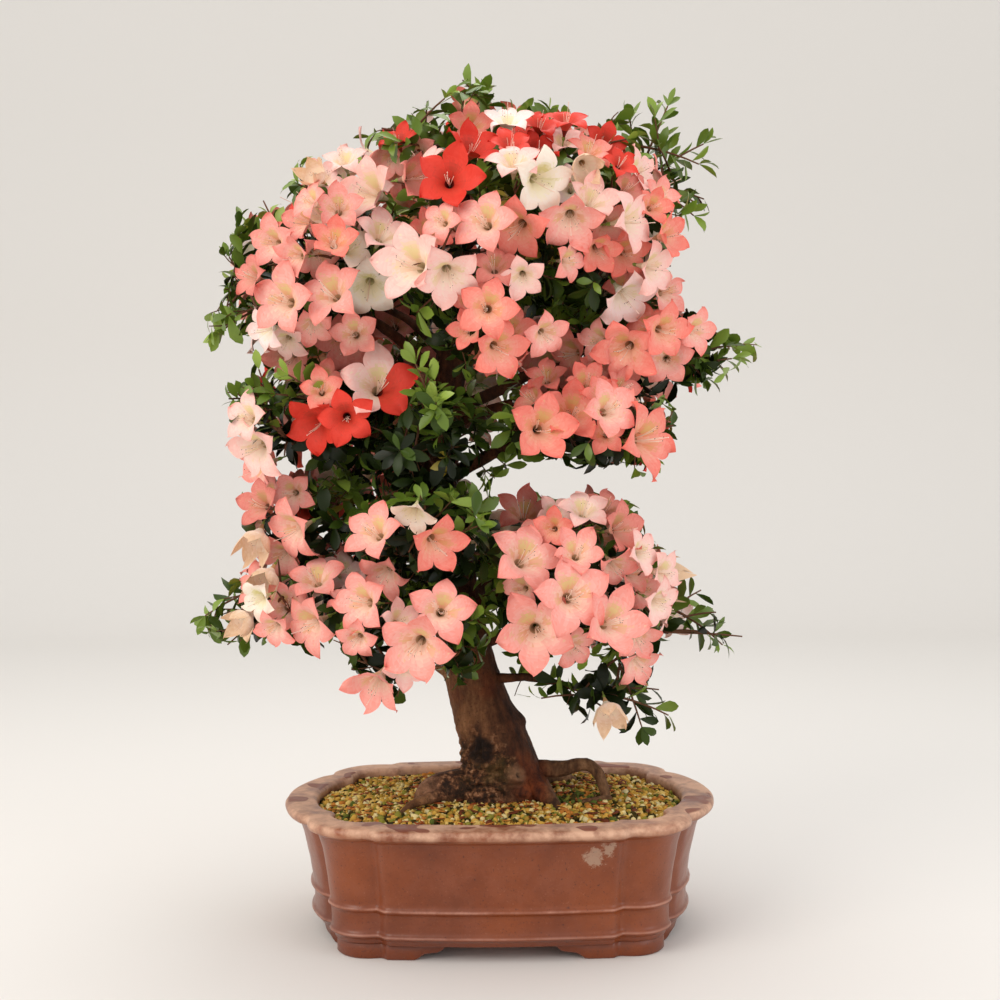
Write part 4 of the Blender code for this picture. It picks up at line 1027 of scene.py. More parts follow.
class Limbs:
    """Every limb as a chain of round pieces, to keep twigs off them."""

    def __init__(self):
        self.starts, self.ends, self.radii = [], [], []

    def add(self, points, radii):
        self.starts += list(points[:-1])
        self.ends += list(points[1:])
        self.radii += list(np.maximum(radii[:-1], radii[1:]))

    def clear(self, points, margin):
        """Whether every point is outside every limb by the margin."""
        starts, runs = np.array(self.starts), np.array(self.ends) - np.array(self.starts)
        away = np.atleast_2d(points)[:, None, :] - starts[None]
        share = np.clip((away * runs).sum(2) / (runs * runs).sum(1), 0, 1)
        gap = np.linalg.norm(away - share[..., None] * runs[None], axis=2) - np.array(self.radii)
        return bool((gap > margin).all())


def on_curve(start, control, end, share):
    """A point on the plain curve from start to end that leans to the control."""
    return (1 - share) ** 2 * start + 2 * share * (1 - share) * control + share * share * end


def curve_points(start, control, end, share_from, share_to):
    """Points on that curve, between two shares of it."""
    parts = max(2, round(np.linalg.norm(end - start) * (share_to - share_from) / LIMB_PART))
    shares = np.linspace(share_from, share_to, parts + 1)
    return np.array([on_curve(start, control, end, share) for share in shares])


def way_to_mass(name):
    """The curve that carries a mass: from the trunk's middle to the seat of the mass."""
    mass = MASSES[name]
    seat = np.array(mass.centre) - np.array([0, 0, SEAT_DROP * mass.half[2]])
    if mass.height is None:
        start = np.array(TRUNK[-1][:3])
        return start, (start + seat) / 2, seat
    start = trunk_at(mass.height)
    return start, (start + seat) / 2 + np.array([0, 0, LIMB_LIFT * np.linalg.norm(seat - start)]), seat


def entry_share(name):
    """How far along its curve the bough has just come into the space of its mass."""
    if MASSES[name].height is None:
        return 0.0
    space = Space(name)
    keep = MASSES[name].thin / 2 + CELL_MARGIN
    shares = np.arange(ENTRY_FIRST, ENTRY_LAST, ENTRY_STEP)
    inside = [share for share in shares if space.holds(on_curve(*way_to_mass(name), share), keep)]
    return float(inside[0]) if inside else ENTRY_LAST


def plan_limbs():
    """All limbs together, every bough's path and radii on to the seat of its mass, and its stem inside it."""
    limbs = Limbs()
    rows = smooth_stations(TRUNK, TRUNK_STEPS)
    limbs.add(rows[:, :3], rows[:, 3] / 2 * (1 + FLARE_SWELL * flare_fade(rows[:, 2])))
    boughs, stems = {}, {}
    for name, mass in MASSES.items():
        entry = entry_share(name)
        whole = curve_points(*way_to_mass(name), 0.0, 1.0)
        shares = np.linspace(0, 1, len(whole))
        radii = np.interp(shares, [0, max(entry, 0.01), 1], [mass.thick / 2, mass.thin / 2, STEM_END / 2])
        boughs[name] = whole, radii
        stems[name] = curve_points(*way_to_mass(name), entry, 1.0)
        if entry:
            bough = curve_points(*way_to_mass(name), 0.0, entry)
            limbs.add(bough, np.linspace(mass.thick / 2, mass.thin / 2, len(bough)))
    return limbs, boughs, stems


# Twigs
Twig = namedtuple("Twig", "path shoot base")


def spread_tips(space, count, seeded):
    """Places for the tips: in the outer part of the space, as far from each other as they can be."""
    away = units(seeded.normal(size=(CANDIDATES, 3)))
    reach = seeded.uniform(SHELL_INNER, 1.0, CANDIDATES) ** 0.7
    places = space.centre + away * reach[:, None] * (space.half - TIP_INSET)
    places = np.array([place for place in places if space.between_planes(place, TIP_MARGIN)])
    chosen = [places[0]]
    nearest = np.linalg.norm(places - places[0], axis=1)
    while len(chosen) < min(count, len(places)):
        index = int(np.argmax(nearest))
        chosen.append(places[index])
        nearest = np.minimum(nearest, np.linalg.norm(places - places[index], axis=1))
    return chosen


def twig_way(node, tip, bend):
    """The run of a twig from its node to its tip."""
    length = np.linalg.norm(tip - node)
    control = (node + tip) / 2 + np.array([0, 0, BEND_RISE * length]) + bend * length
    start = node - TWIG_BACK * unit(tip - node)
    return np.array([on_curve(start, control, tip, share) for share in np.linspace(0, 1, TWIG_ROWS)])


def grow_twigs(space, stem, tips, sure_tips, shoots, limbs, seeded):
    """Joins each tip to the growing tree of twigs, nearest first: a sure tip whatever is in its way."""
    nodes, gone = [], []
    for first, second in zip(stem, stem[1:]):
        count = max(2, int(np.linalg.norm(second - first) / NODE_STEP) + 1)
        for share in np.linspace(0, 1, count)[1:]:
            nodes.append(first + share * (second - first))
            gone.append(0.0)
    rows = [(tip, False, False) for tip in tips] + [(tip, False, True) for tip in sure_tips]
    rows.sort(key=lambda row: float(np.linalg.norm(row[0] - stem[0])))
    rows += [(np.array(tip), True, False) for tip in shoots]
    twigs = []
    for tip, is_shoot, sure in rows:
        reach = np.linalg.norm(np.array(nodes) - tip, axis=1)
        costs = reach + REACH_COST * np.array(gone) + 1.0 * (reach < SHORTEST_TWIG)  # a metre more if short
        if is_shoot:
            costs = np.abs(reach - SHOOT_REACH)
        parents = np.argsort(costs)[:PARENT_TRIES]
        ways = [twig_way(nodes[index], tip, seeded.normal(0, TWIG_SWAY, 3)) for index in parents]
        free = [
            at for at, way in enumerate(ways)
            if space.between_planes(way[1:]) and limbs.clear(way[2:], LIMB_CLEARANCE + TWIG_START / 2)
        ]
        if not free and not sure:
            continue
        at = free[0] if free else 0
        index = parents[at]
        twigs.append(Twig(ways[at], is_shoot, sure))
        for share in NODE_SHARES:
            nodes.append(ways[at][round(share * (TWIG_ROWS - 1))])
            gone.append(gone[index] + share * reach[index])
    return twigs


def twig_tubes(paths, start, end, sides):
    """Tubes for many twigs of the same number of rows, as one shape."""
    paths = np.asarray(paths)
    count, rows = paths.shape[:2]
    headings = units(np.gradient(paths, axis=1))
    helper = np.where(np.abs(headings[:, :1, 2:]) < 0.9, UP, np.array([1.0, 0.0, 0.0]))
    side = units(np.cross(np.broadcast_to(helper, headings.shape), headings))
    up = np.cross(headings, side)
    radii = np.linspace(start, end, rows)[None, :, None, None] / 2
    turns = ring_turns(sides)[None, None, :, None]
    rings = paths[:, :, None] + radii * (np.cos(turns) * side[:, :, None] + np.sin(turns) * up[:, :, None])
    faces = grid_faces(rows, sides, True)
    shift = np.arange(count)[:, None, None] * rows * sides
    return shape(rings.reshape(-1, 3), faces[None] + shift)


# Leaves: a fold along the middle, an arch from stalk to tip, and an outline of half-widths
LEAF_STATIONS = ((0.12, 0.14), (0.36, 0.38), (0.63, 0.50), (0.85, 0.33))
LEAF_KINDS = 6
LEAF_WIDTH, LEAF_FOLD, LEAF_ARCH, LEAF_CURL = (0.36, 0.46), (0.10, 0.32), (-0.02, 0.16), (0.0, 0.10)
LEAF_TWIST = 0.18
LEAF_LENGTH = (0.021, 0.032)
# Greens from the deepest painted shade to the brightest painted light, then an old leaf's yellow
LEAF_COLOURS = (
    "#161F0A", "#24320E", "#3B4F18", "#5A7123", "#728A30", "#829A3B", "#92A947", "#A8963C",
)
DEEP_TONES = 3
LEAF_ROUGHNESS, LEAF_SHINE = 0.36, (0.20, 0.36)
BRIGHTEST, OLD_LEAF = len(LEAF_COLOURS) - 2, len(LEAF_COLOURS) - 1
OLD_SPRAY = 100
WHORL_COUNT = (4, 8)
WHORL_SPREAD = (48, 86)
ALONG_STEP = 0.0090
ALONG_SPREAD = (38, 72)
TWIGLET_LENGTH = (0.012, 0.026)
TWIGLET = 0.0014, 0.0009, 4
TWIGLET_SHARES = (0.50, 0.80)
SPUR_STEP, SPUR_FROM = 0.016, 0.30
SHOOT_REACH, SHOOT_STEP, SHOOT_BARE, SHOOT_SPREAD, SHOOT_TIP = 0.062, 0.0074, 0.20, (36, 64), (10, 30, 44)
FACE_SWAY = 0.42
# Up in the light at the crown's top no leaf is darker than this
HIGH_FROM, HIGH_TONE = 0.70, 3
# How far into a mass leaves take painted shade, and out at its skin painted light, and how their tones follow
INSIDE, OUTSIDE = 0.50, 1.12
TONE_INSIDE, TONE_SPAN, TONE_SWAY, OLD_SHARE = 0.6, 4.9, 0.55, 0.006
LEAFY_FROM, BLOOM_LEAFY_FROM = 0.50, 0.55
TWIGLET_LEAVES = 0.9
# How far along a leaf its middle and its end are taken to be
LEAF_MARKS = 0.55, 0.95


def leaf_shape(seeded):
    """One leaf, its stalk at the origin, along X, its upper side to +Z, at length one."""
    width, fold, arch = (seeded.uniform(*limits) for limits in (LEAF_WIDTH, LEAF_FOLD, LEAF_ARCH))
    twist, curl = seeded.normal(0, LEAF_TWIST), seeded.uniform(*LEAF_CURL)
    points = [(0, 0, 0)]
    for at, half in LEAF_STATIONS:
        drop = -arch * (2 * at - 1) ** 2 + arch - curl * at**3
        for side in (-1, 0, 1):
            y = side * half * width
            z = drop + fold * abs(y) * 1.2 + twist * y * at
            points.append((at, y, z))
    points.append((1.0, 0.0, -curl - 0.01))
    last = len(points) - 1
    faces = [(0, 2, 1), (0, 3, 2), (last - 3, last - 2, last), (last - 2, last - 1, last)]
    for row in range(len(LEAF_STATIONS) - 1):
        low, high = 1 + 3 * row, 4 + 3 * row
        for side in range(2):
            a, b, c, d = low + side, low + side + 1, high + side + 1, high + side
            faces += [(a, b, c), (a, c, d)] if side == 0 else [(a, b, d), (b, c, d)]
    return shape(points, faces)


# The columns of a leaf's row: its stalk's place, its direction, the way its upper side looks, its length and
# tone, and whether it may stand before a bloom
STALKS, WAYS, FACES, LENGTHS, TONES, BEFORE = slice(0, 3), slice(3, 6), slice(6, 9), slice(9, 10), 10, 11


class Leaves:
    """Where every leaf grows, as rows."""

    def __init__(self):
        self.rows, self.before_blooms, self.sway = [], False, np.random.default_rng(SEED)

    def sprout(self, place, heading, turn, spread, length, tone):
        """One leaf, turned round its twig and spread from it by so many degrees."""
        side, up = across(heading)
        spread = math.radians(spread)
        out = math.cos(turn) * side + math.sin(turn) * up
        way = math.cos(spread) * heading + math.sin(spread) * out
        face = heading + 0.45 * UP + self.sway.normal(0, FACE_SWAY, 3)
        face = face - way * np.dot(face, way)
        tone = max(tone, HIGH_TONE) if place[2] > HIGH_FROM else tone
        self.rows.append((*place, *way, *unit(face), length, tone, self.before_blooms))

    def whorl(self, place, heading, seeded, tone, size=1.0):
        """A twig's last leaves, all round it, the innermost the largest."""
        count = seeded.integers(*WHORL_COUNT)
        turn = seeded.uniform(0, 2 * math.pi)
        for at in range(count):
            turn += 2.4 + seeded.normal(0, 0.12)
            share = at / count
            spread = WHORL_SPREAD[1] + (WHORL_SPREAD[0] - WHORL_SPREAD[1]) * share + seeded.normal(0, 6)
            length = size * seeded.uniform(*LEAF_LENGTH) * (1.0 - 0.30 * share)
            mine = tone + (share > 0.6) + seeded.choice((-1, 0, 0, 1))
            self.sprout(place - heading * 0.003 * (1 - share), heading, turn, spread, length, mine)

    def on_shoot(self, path, seeded, tone):
        """Leaves by turns on the two sides of an open shoot, smaller to its tip."""
        marks = evenly(path, SHOOT_STEP)
        turn = seeded.uniform(0, 2 * math.pi)
        first = max(1, int(SHOOT_BARE * len(marks)))
        for at in range(first, len(marks) - 1):
            turn += math.pi + seeded.normal(0, 0.45)
            heading = unit(marks[at + 1] - marks[at - 1])
            spread = seeded.uniform(*SHOOT_SPREAD)
            length = (1.0 - 0.28 * (at - first) / len(marks)) * seeded.uniform(*LEAF_LENGTH)
            self.sprout(marks[at], heading, turn, spread, length, tone + seeded.choice((-1, 0, 0, 1)))
        for spread in SHOOT_TIP:
            turn += 2.2 + seeded.normal(0, 0.2)
            length = 0.70 * seeded.uniform(*LEAF_LENGTH)
            self.sprout(path[-1], unit(path[-1] - path[-2]), turn, spread, length, tone + 1)

    def along(self, path, start, seeded, tone, size=0.9):
        """Single leaves up a twig from this share of its length to near its tip."""
        marks = evenly(path, ALONG_STEP)
        turn = seeded.uniform(0, 2 * math.pi)
        for at in range(max(1, int(start * len(marks))), len(marks) - 1):
            turn += 2.4 + seeded.normal(0, 0.2)
            heading = unit(marks[at + 1] - marks[at - 1])
            spread = seeded.uniform(*ALONG_SPREAD)
            length = size * seeded.uniform(*LEAF_LENGTH)
            self.sprout(marks[at], heading, turn, spread, length, tone + seeded.choice((-1, 0, 0)))


def outwardness(space, place):
    """How far out a place is in its mass: none inside, one at its skin."""
    away = float(np.linalg.norm((place - space.centre) / space.half))
    up = (place[2] - space.centre[2]) / space.half[2]
    return float(np.clip((away + 0.22 * up - INSIDE) / (OUTSIDE - INSIDE), 0, 1))


def leaf_tone(space, place, seeded):
    """The green of a spray: painted shade inside, painted light at the skin, a few yellowing."""
    if seeded.random() < OLD_SHARE:
        return OLD_SPRAY
    tone = TONE_INSIDE + TONE_SPAN * outwardness(space, place) + seeded.normal(0, TONE_SWAY)
    return int(round(np.clip(tone, 0, BRIGHTEST)))


# Blooms. One lobe's midline and half-width, in radii of the bloom: reach, height and half-width
PETAL_ROWS = (
    (0.035, -0.860, 0.0220), (0.075, -0.680, 0.0471), (0.130, -0.520, 0.0817), (0.200, -0.385, 0.1257),
    (0.290, -0.268, 0.1822), (0.380, -0.180, 0.2388), (0.460, -0.115, 0.2890), (0.530, -0.066, 0.3320),
    (0.600, -0.032, 0.3640), (0.665, -0.012, 0.3530), (0.735, -0.002, 0.3020), (0.805, 0.000, 0.2370),
    (0.875, -0.010, 0.1620), (0.940, -0.026, 0.0850), (1.000, -0.050, 0.0060),
)
FUNNEL_REACHES, FUNNEL_HEIGHTS = tuple(zip(*PETAL_ROWS[:11]))[:2]
LOBES = 5
TUBE_END = 0.52
# How lobes differ in size, tilt and twist, in the cup across them, the curve back, the ruffle and its waves
LOBE_SIZE_SWAY, LOBE_TILT_SWAY, LOBE_TWIST_SWAY = 0.05, 0.16, 0.15
LOBE_CUP, LOBE_RECURVE, LOBE_RUFFLE, LOBE_WAVES = (-0.05, 0.22), (0.0, 0.55), (0.012, 0.036), (1.0, 1.7)
# The same for a withered bloom, whose lobes hang forward and are wider
SPENT_TILT, SPENT_CUP, SPENT_LENGTH = (0.9, 2.0), (0.2, 0.7), (-0.2, 0.1)
SPENT_RUFFLE, SPENT_WIDTH = 0.10, 0.45
# How finely a bloom is made: its rows, how many parts a lobe has across, its filaments and their parts
Make = namedtuple("Make", "rows across filaments parts")
FINE = Make(tuple(range(15)), 8, 7, 5)
PLAIN = Make((0, 2, 4, 6, 7, 8, 9, 10, 11, 12, 13, 14), 6, 5, 3)
OPENINGS = (-0.10, -0.05, 0.0, 0.0, 0.05, 0.05, 0.10, 0.15, 0.25, 0.35, 0.50, 0.70)
WITHERED_KINDS = 3
# What each triangle of a bloom is: the throat, shades out to the edge, three of the blotch, then small parts
THROAT, SHADES, FAINT_BLOTCH, PALE_BLOTCH, BLOTCH = 0, 7, 8, 9, 10
ROLES = 11
SPECK, FILAMENT, ANTHER, PISTIL, CALYX = range(5)
BLOTCH_FROM = (0.30, FAINT_BLOTCH), (0.54, PALE_BLOTCH), (0.80, BLOTCH)
SPECKS = 14
SPECK_ROWS, SPECK_COLUMNS = (0.30, 0.62), (0.2, 0.8)
SPECK_LENGTH, SPECK_WIDTH, SPECK_LIFT = (0.010, 0.020), (0.006, 0.010), 0.008
STAMEN_TURN, STAMEN_LEAN, STAMEN_LIFT, STAMEN_END = 1.9, (0.08, 0.24), (0.06, 0.16), (0.04, 0.34)
PISTIL_END, PISTIL_RADIUS, STIGMA_SIZE = 0.56, 0.012, (0.020, 0.020, 0.030)
FILAMENT_RADIUS, ANTHER_SIZE = 0.009, (0.013, 0.013, 0.026)
OCTAHEDRON = (1, 0, 0), (0, 1, 0), (-1, 0, 0), (0, -1, 0), (0, 0, 1), (0, 0, -1)
SMALL_PARTS = ("#C25A58", "#FBEBD6", "#6A3A34", "#F8D8C6", "#7F9344")
# Families of colour: throat, petal by the throat, most of the petal, its edge, and the blotch. The throat is
# greenish, darkened with painted shade deep in the funnel.
Family = namedtuple("Family", "throat inner petal edge blotch")
FAMILIES = {
    "blush": Family("#D6CDA8", "#FAF0DF", "#FBE7E2", "#F9D3CB", "#E2DEA2"),
    "cream": Family("#D2C898", "#F7EDCC", "#F8EFE0", "#F7E2D0", "#DAD48C"),
    "pale": Family("#CDB894", "#FAE4D0", "#FBD4CA", "#F9BDB3", "#E4D494"),
    "salmon": Family("#C6A482", "#F9D6C2", "#F8B2A6", "#F59488", "#DFC57E"),
    "coral": Family("#BA8A66", "#F5BCA0", "#F49A8A", "#F17C6D", "#D8B068"),
    # A coral bloom in painted shade
    "shaded_coral": Family("#94705A", "#E0A692", "#E69486", "#DA7A6E", "#C09A64"),
    "red": Family("#741F18", "#D24634", "#E24434", "#DC3828", "#BE4030"),
    "withered": Family("#C9A070", "#F8EAD4", "#F8E0CC", "#EBC6A2", "#DDB580"),
}
FAMILY_NAMES = tuple(FAMILIES)


def petal_grid(seeded, make, opening, withered=False):
    """The points of the top lobe of a bloom of radius one that looks along Z: rows out, then across."""
    rows = np.array(PETAL_ROWS)[list(make.rows)]
    reach, rise, half = (rows[:, at][:, None] for at in range(3))
    u = np.linspace(-1, 1, make.across + 1)[None]
    past = np.clip(reach - TUBE_END, 0, 1)
    open_share = past / (1 - TUBE_END)
    length = 1 + seeded.normal(0, LOBE_SIZE_SWAY) * open_share
    tilt, twist = opening + seeded.normal(0, LOBE_TILT_SWAY), seeded.normal(0, LOBE_TWIST_SWAY)
    cup, recurve = seeded.uniform(*LOBE_CUP), seeded.uniform(*LOBE_RECURVE)
    ruffle, waves, phase = seeded.uniform(*LOBE_RUFFLE), seeded.uniform(*LOBE_WAVES), seeded.uniform(0, 6.28)
    width = 1 + seeded.normal(0, LOBE_SIZE_SWAY) * open_share
    if withered:
        tilt, cup, ruffle = seeded.uniform(*SPENT_TILT), seeded.uniform(*SPENT_CUP), SPENT_RUFFLE
        width, length = 1 + SPENT_WIDTH * open_share, 1 + seeded.uniform(*SPENT_LENGTH) * open_share
    turn = u * half * width / reach
    angle = math.pi / 2 + turn
    out = reach * length * np.cos(turn) ** (-0.9 * open_share)
    height = rise + tilt * past + (twist * u + cup * u * u) * past - recurve * past**2
    groove = np.clip((reach - 0.2) / 0.3, 0, 1) * np.clip((1.02 - reach) / 0.3, 0, 1)
    height = height - 0.020 * np.exp(-((u / 0.16) ** 2)) * groove - 0.045 * (1 - u * u) * groove * past
    height = height + ruffle * open_share * np.sin(2 * math.pi * waves * u + phase) * np.abs(u) ** 0.5
    height = height + 0.6 * ruffle * open_share * np.sin(9 * reach + phase)
    height = height + 0.022 * u * np.clip(open_share * 3, 0, 1)
    shrink = math.cos(min(abs(tilt), 1.1))
    away = np.where(reach > TUBE_END, TUBE_END + (out - TUBE_END) * shrink, out)
    return np.stack([away * np.cos(angle), away * np.sin(angle), height + 0 * u], -1)


def lobe_tones(seeded, make, lobe, withered):
    """What each triangle of a lobe is, out along its rows and across it."""
    reach = np.array(PETAL_ROWS)[list(make.rows), 0]
    middle = ((reach[1:] + reach[:-1]) / 2)[:, None]
    u = (np.arange(make.across)[None] + 0.5) / make.across * 2 - 1
    edge = 0.62 * np.clip((middle - 0.20) / 0.42, 0, 1) + 0.26 * np.clip((middle - 0.56) / 0.4, 0, 1)
    edge = edge + 0.16 * np.abs(u) ** 2 * np.clip(middle * 2, 0, 1) + seeded.normal(0, 0.030, u.shape)
    edge = np.repeat(edge, 2, axis=1)
    edge = edge + seeded.normal(0, 0.045, edge.shape)
    tones = 1 + np.clip((edge * SHADES).astype(int), 0, SHADES - 1)
    # The throat, deep in the funnel, takes a greenish colour darkened with painted shade
    tones = np.where(middle < 0.12, THROAT, tones)
    if not withered:
        near_top = {0: 1.0, 1: 0.42 + 0.40 * u, 4: 0.42 - 0.40 * u}.get(lobe, 0.12)
        glow = near_top * np.exp(-(((middle - 0.32) / 0.17) ** 2)) * (1.04 - 0.62 * u * u)
        glow = np.repeat(glow + seeded.normal(0, 0.07, u.shape), 2, axis=1)
        glow = glow + seeded.normal(0, 0.09, glow.shape)
        for least, tone in BLOTCH_FROM:
            tones = np.where((glow > least) & (middle > 0.14), tone, tones)
    return tones.ravel()


def specks(grid, seeded):
    """Small dark marks on the upper lobe, laid just over it."""
    points, faces = [], []
    last = grid.shape[0] - 1, grid.shape[1] - 1
    for _ in range(SPECKS):
        row, column = seeded.uniform(*SPECK_ROWS) * last[0], seeded.uniform(*SPECK_COLUMNS) * last[1]
        r, c = int(row), int(column)
        a, b = row - r, column - c
        place = (grid[r, c] * (1 - a) * (1 - b) + grid[r + 1, c] * a * (1 - b)
                 + grid[r, c + 1] * (1 - a) * b + grid[r + 1, c + 1] * a * b)
        out = unit(grid[r + 1, c] - grid[r, c]) * seeded.uniform(*SPECK_LENGTH)
        aside = unit(grid[r, c + 1] - grid[r, c]) * seeded.uniform(*SPECK_WIDTH)
        place = place + SPECK_LIFT * unit(np.cross(aside, out))
        start = len(points)
        points += [place - out, place + aside, place + out, place - aside]
        faces += [(start, start + 1, start + 2), (start, start + 2, start + 3)]
    return shape(points, faces, ROLES + SPECK)


def stamens(seeded, make):
    """Curved filaments with their anthers, and a longer pistil that curves up."""
    shapes = []
    for at in range(make.filaments):
        pistil = at == 0
        turn = -math.pi / 2 + (0.0 if pistil else seeded.uniform(-STAMEN_TURN, STAMEN_TURN))
        lean, lift = seeded.uniform(*STAMEN_LEAN), seeded.uniform(*STAMEN_LIFT)
        end = PISTIL_END if pistil else seeded.uniform(*STAMEN_END)
        share = np.linspace(0, 1, make.parts + 1)
        out = 0.02 + lean * share**1.3
        rise = -0.7 + (0.7 + end) * share
        path = np.column_stack([out * math.cos(turn), out * math.sin(turn) + lift * share**3, rise])
        rings = tube_rings(path, np.full(len(path), PISTIL_RADIUS if pistil else FILAMENT_RADIUS), 3)
        tone = ROLES + (PISTIL if pistil else FILAMENT)
        shapes.append(shape(rings.reshape(-1, 3), grid_faces(len(path), 3, True), tone))
        corners = path[-1] + np.array(OCTAHEDRON) * (STIGMA_SIZE if pistil else ANTHER_SIZE)
        faces = [(a, (a + 1) % 4, 4) for a in range(4)] + [((a + 1) % 4, a, 5) for a in range(4)]
        shapes.append(shape(corners, faces, ROLES + (PISTIL if pistil else ANTHER)))
    return join(shapes)


def calyx():
    """The green cup and the stalk behind a bloom."""
    path = np.array([(0, 0, -1.14), (0, 0, -0.98), (0, 0, -0.90), (0, 0, -0.80)])
    rings = tube_rings(path, (0.024, 0.028, 0.066, 0.060), 6)
    return shape(rings.reshape(-1, 3), grid_faces(4, 6, True), ROLES + CALYX)


def bloom_shape(seeded, make, opening=0.0, withered=False):
    """A funnel of five lobes, the first at the top, looking along Z, of radius one."""
    shapes = []
    for lobe in range(LOBES):
        grid = petal_grid(seeded, make, opening, withered)
        turn = 2 * math.pi * lobe / LOBES
        ahead, aside = (math.cos(turn), math.sin(turn), 0), (-math.sin(turn), math.cos(turn), 0)
        points = (grid @ np.array([ahead, aside, (0, 0, 1)])).reshape(-1, 3)
        tones = lobe_tones(seeded, make, lobe, withered)
        shapes.append(shape(points, grid_faces(*grid.shape[:2], False), tones))
        if lobe == 0 and not withered:
            shapes.append(specks(grid, seeded))
    return join(shapes + [stamens(seeded, make), calyx()])


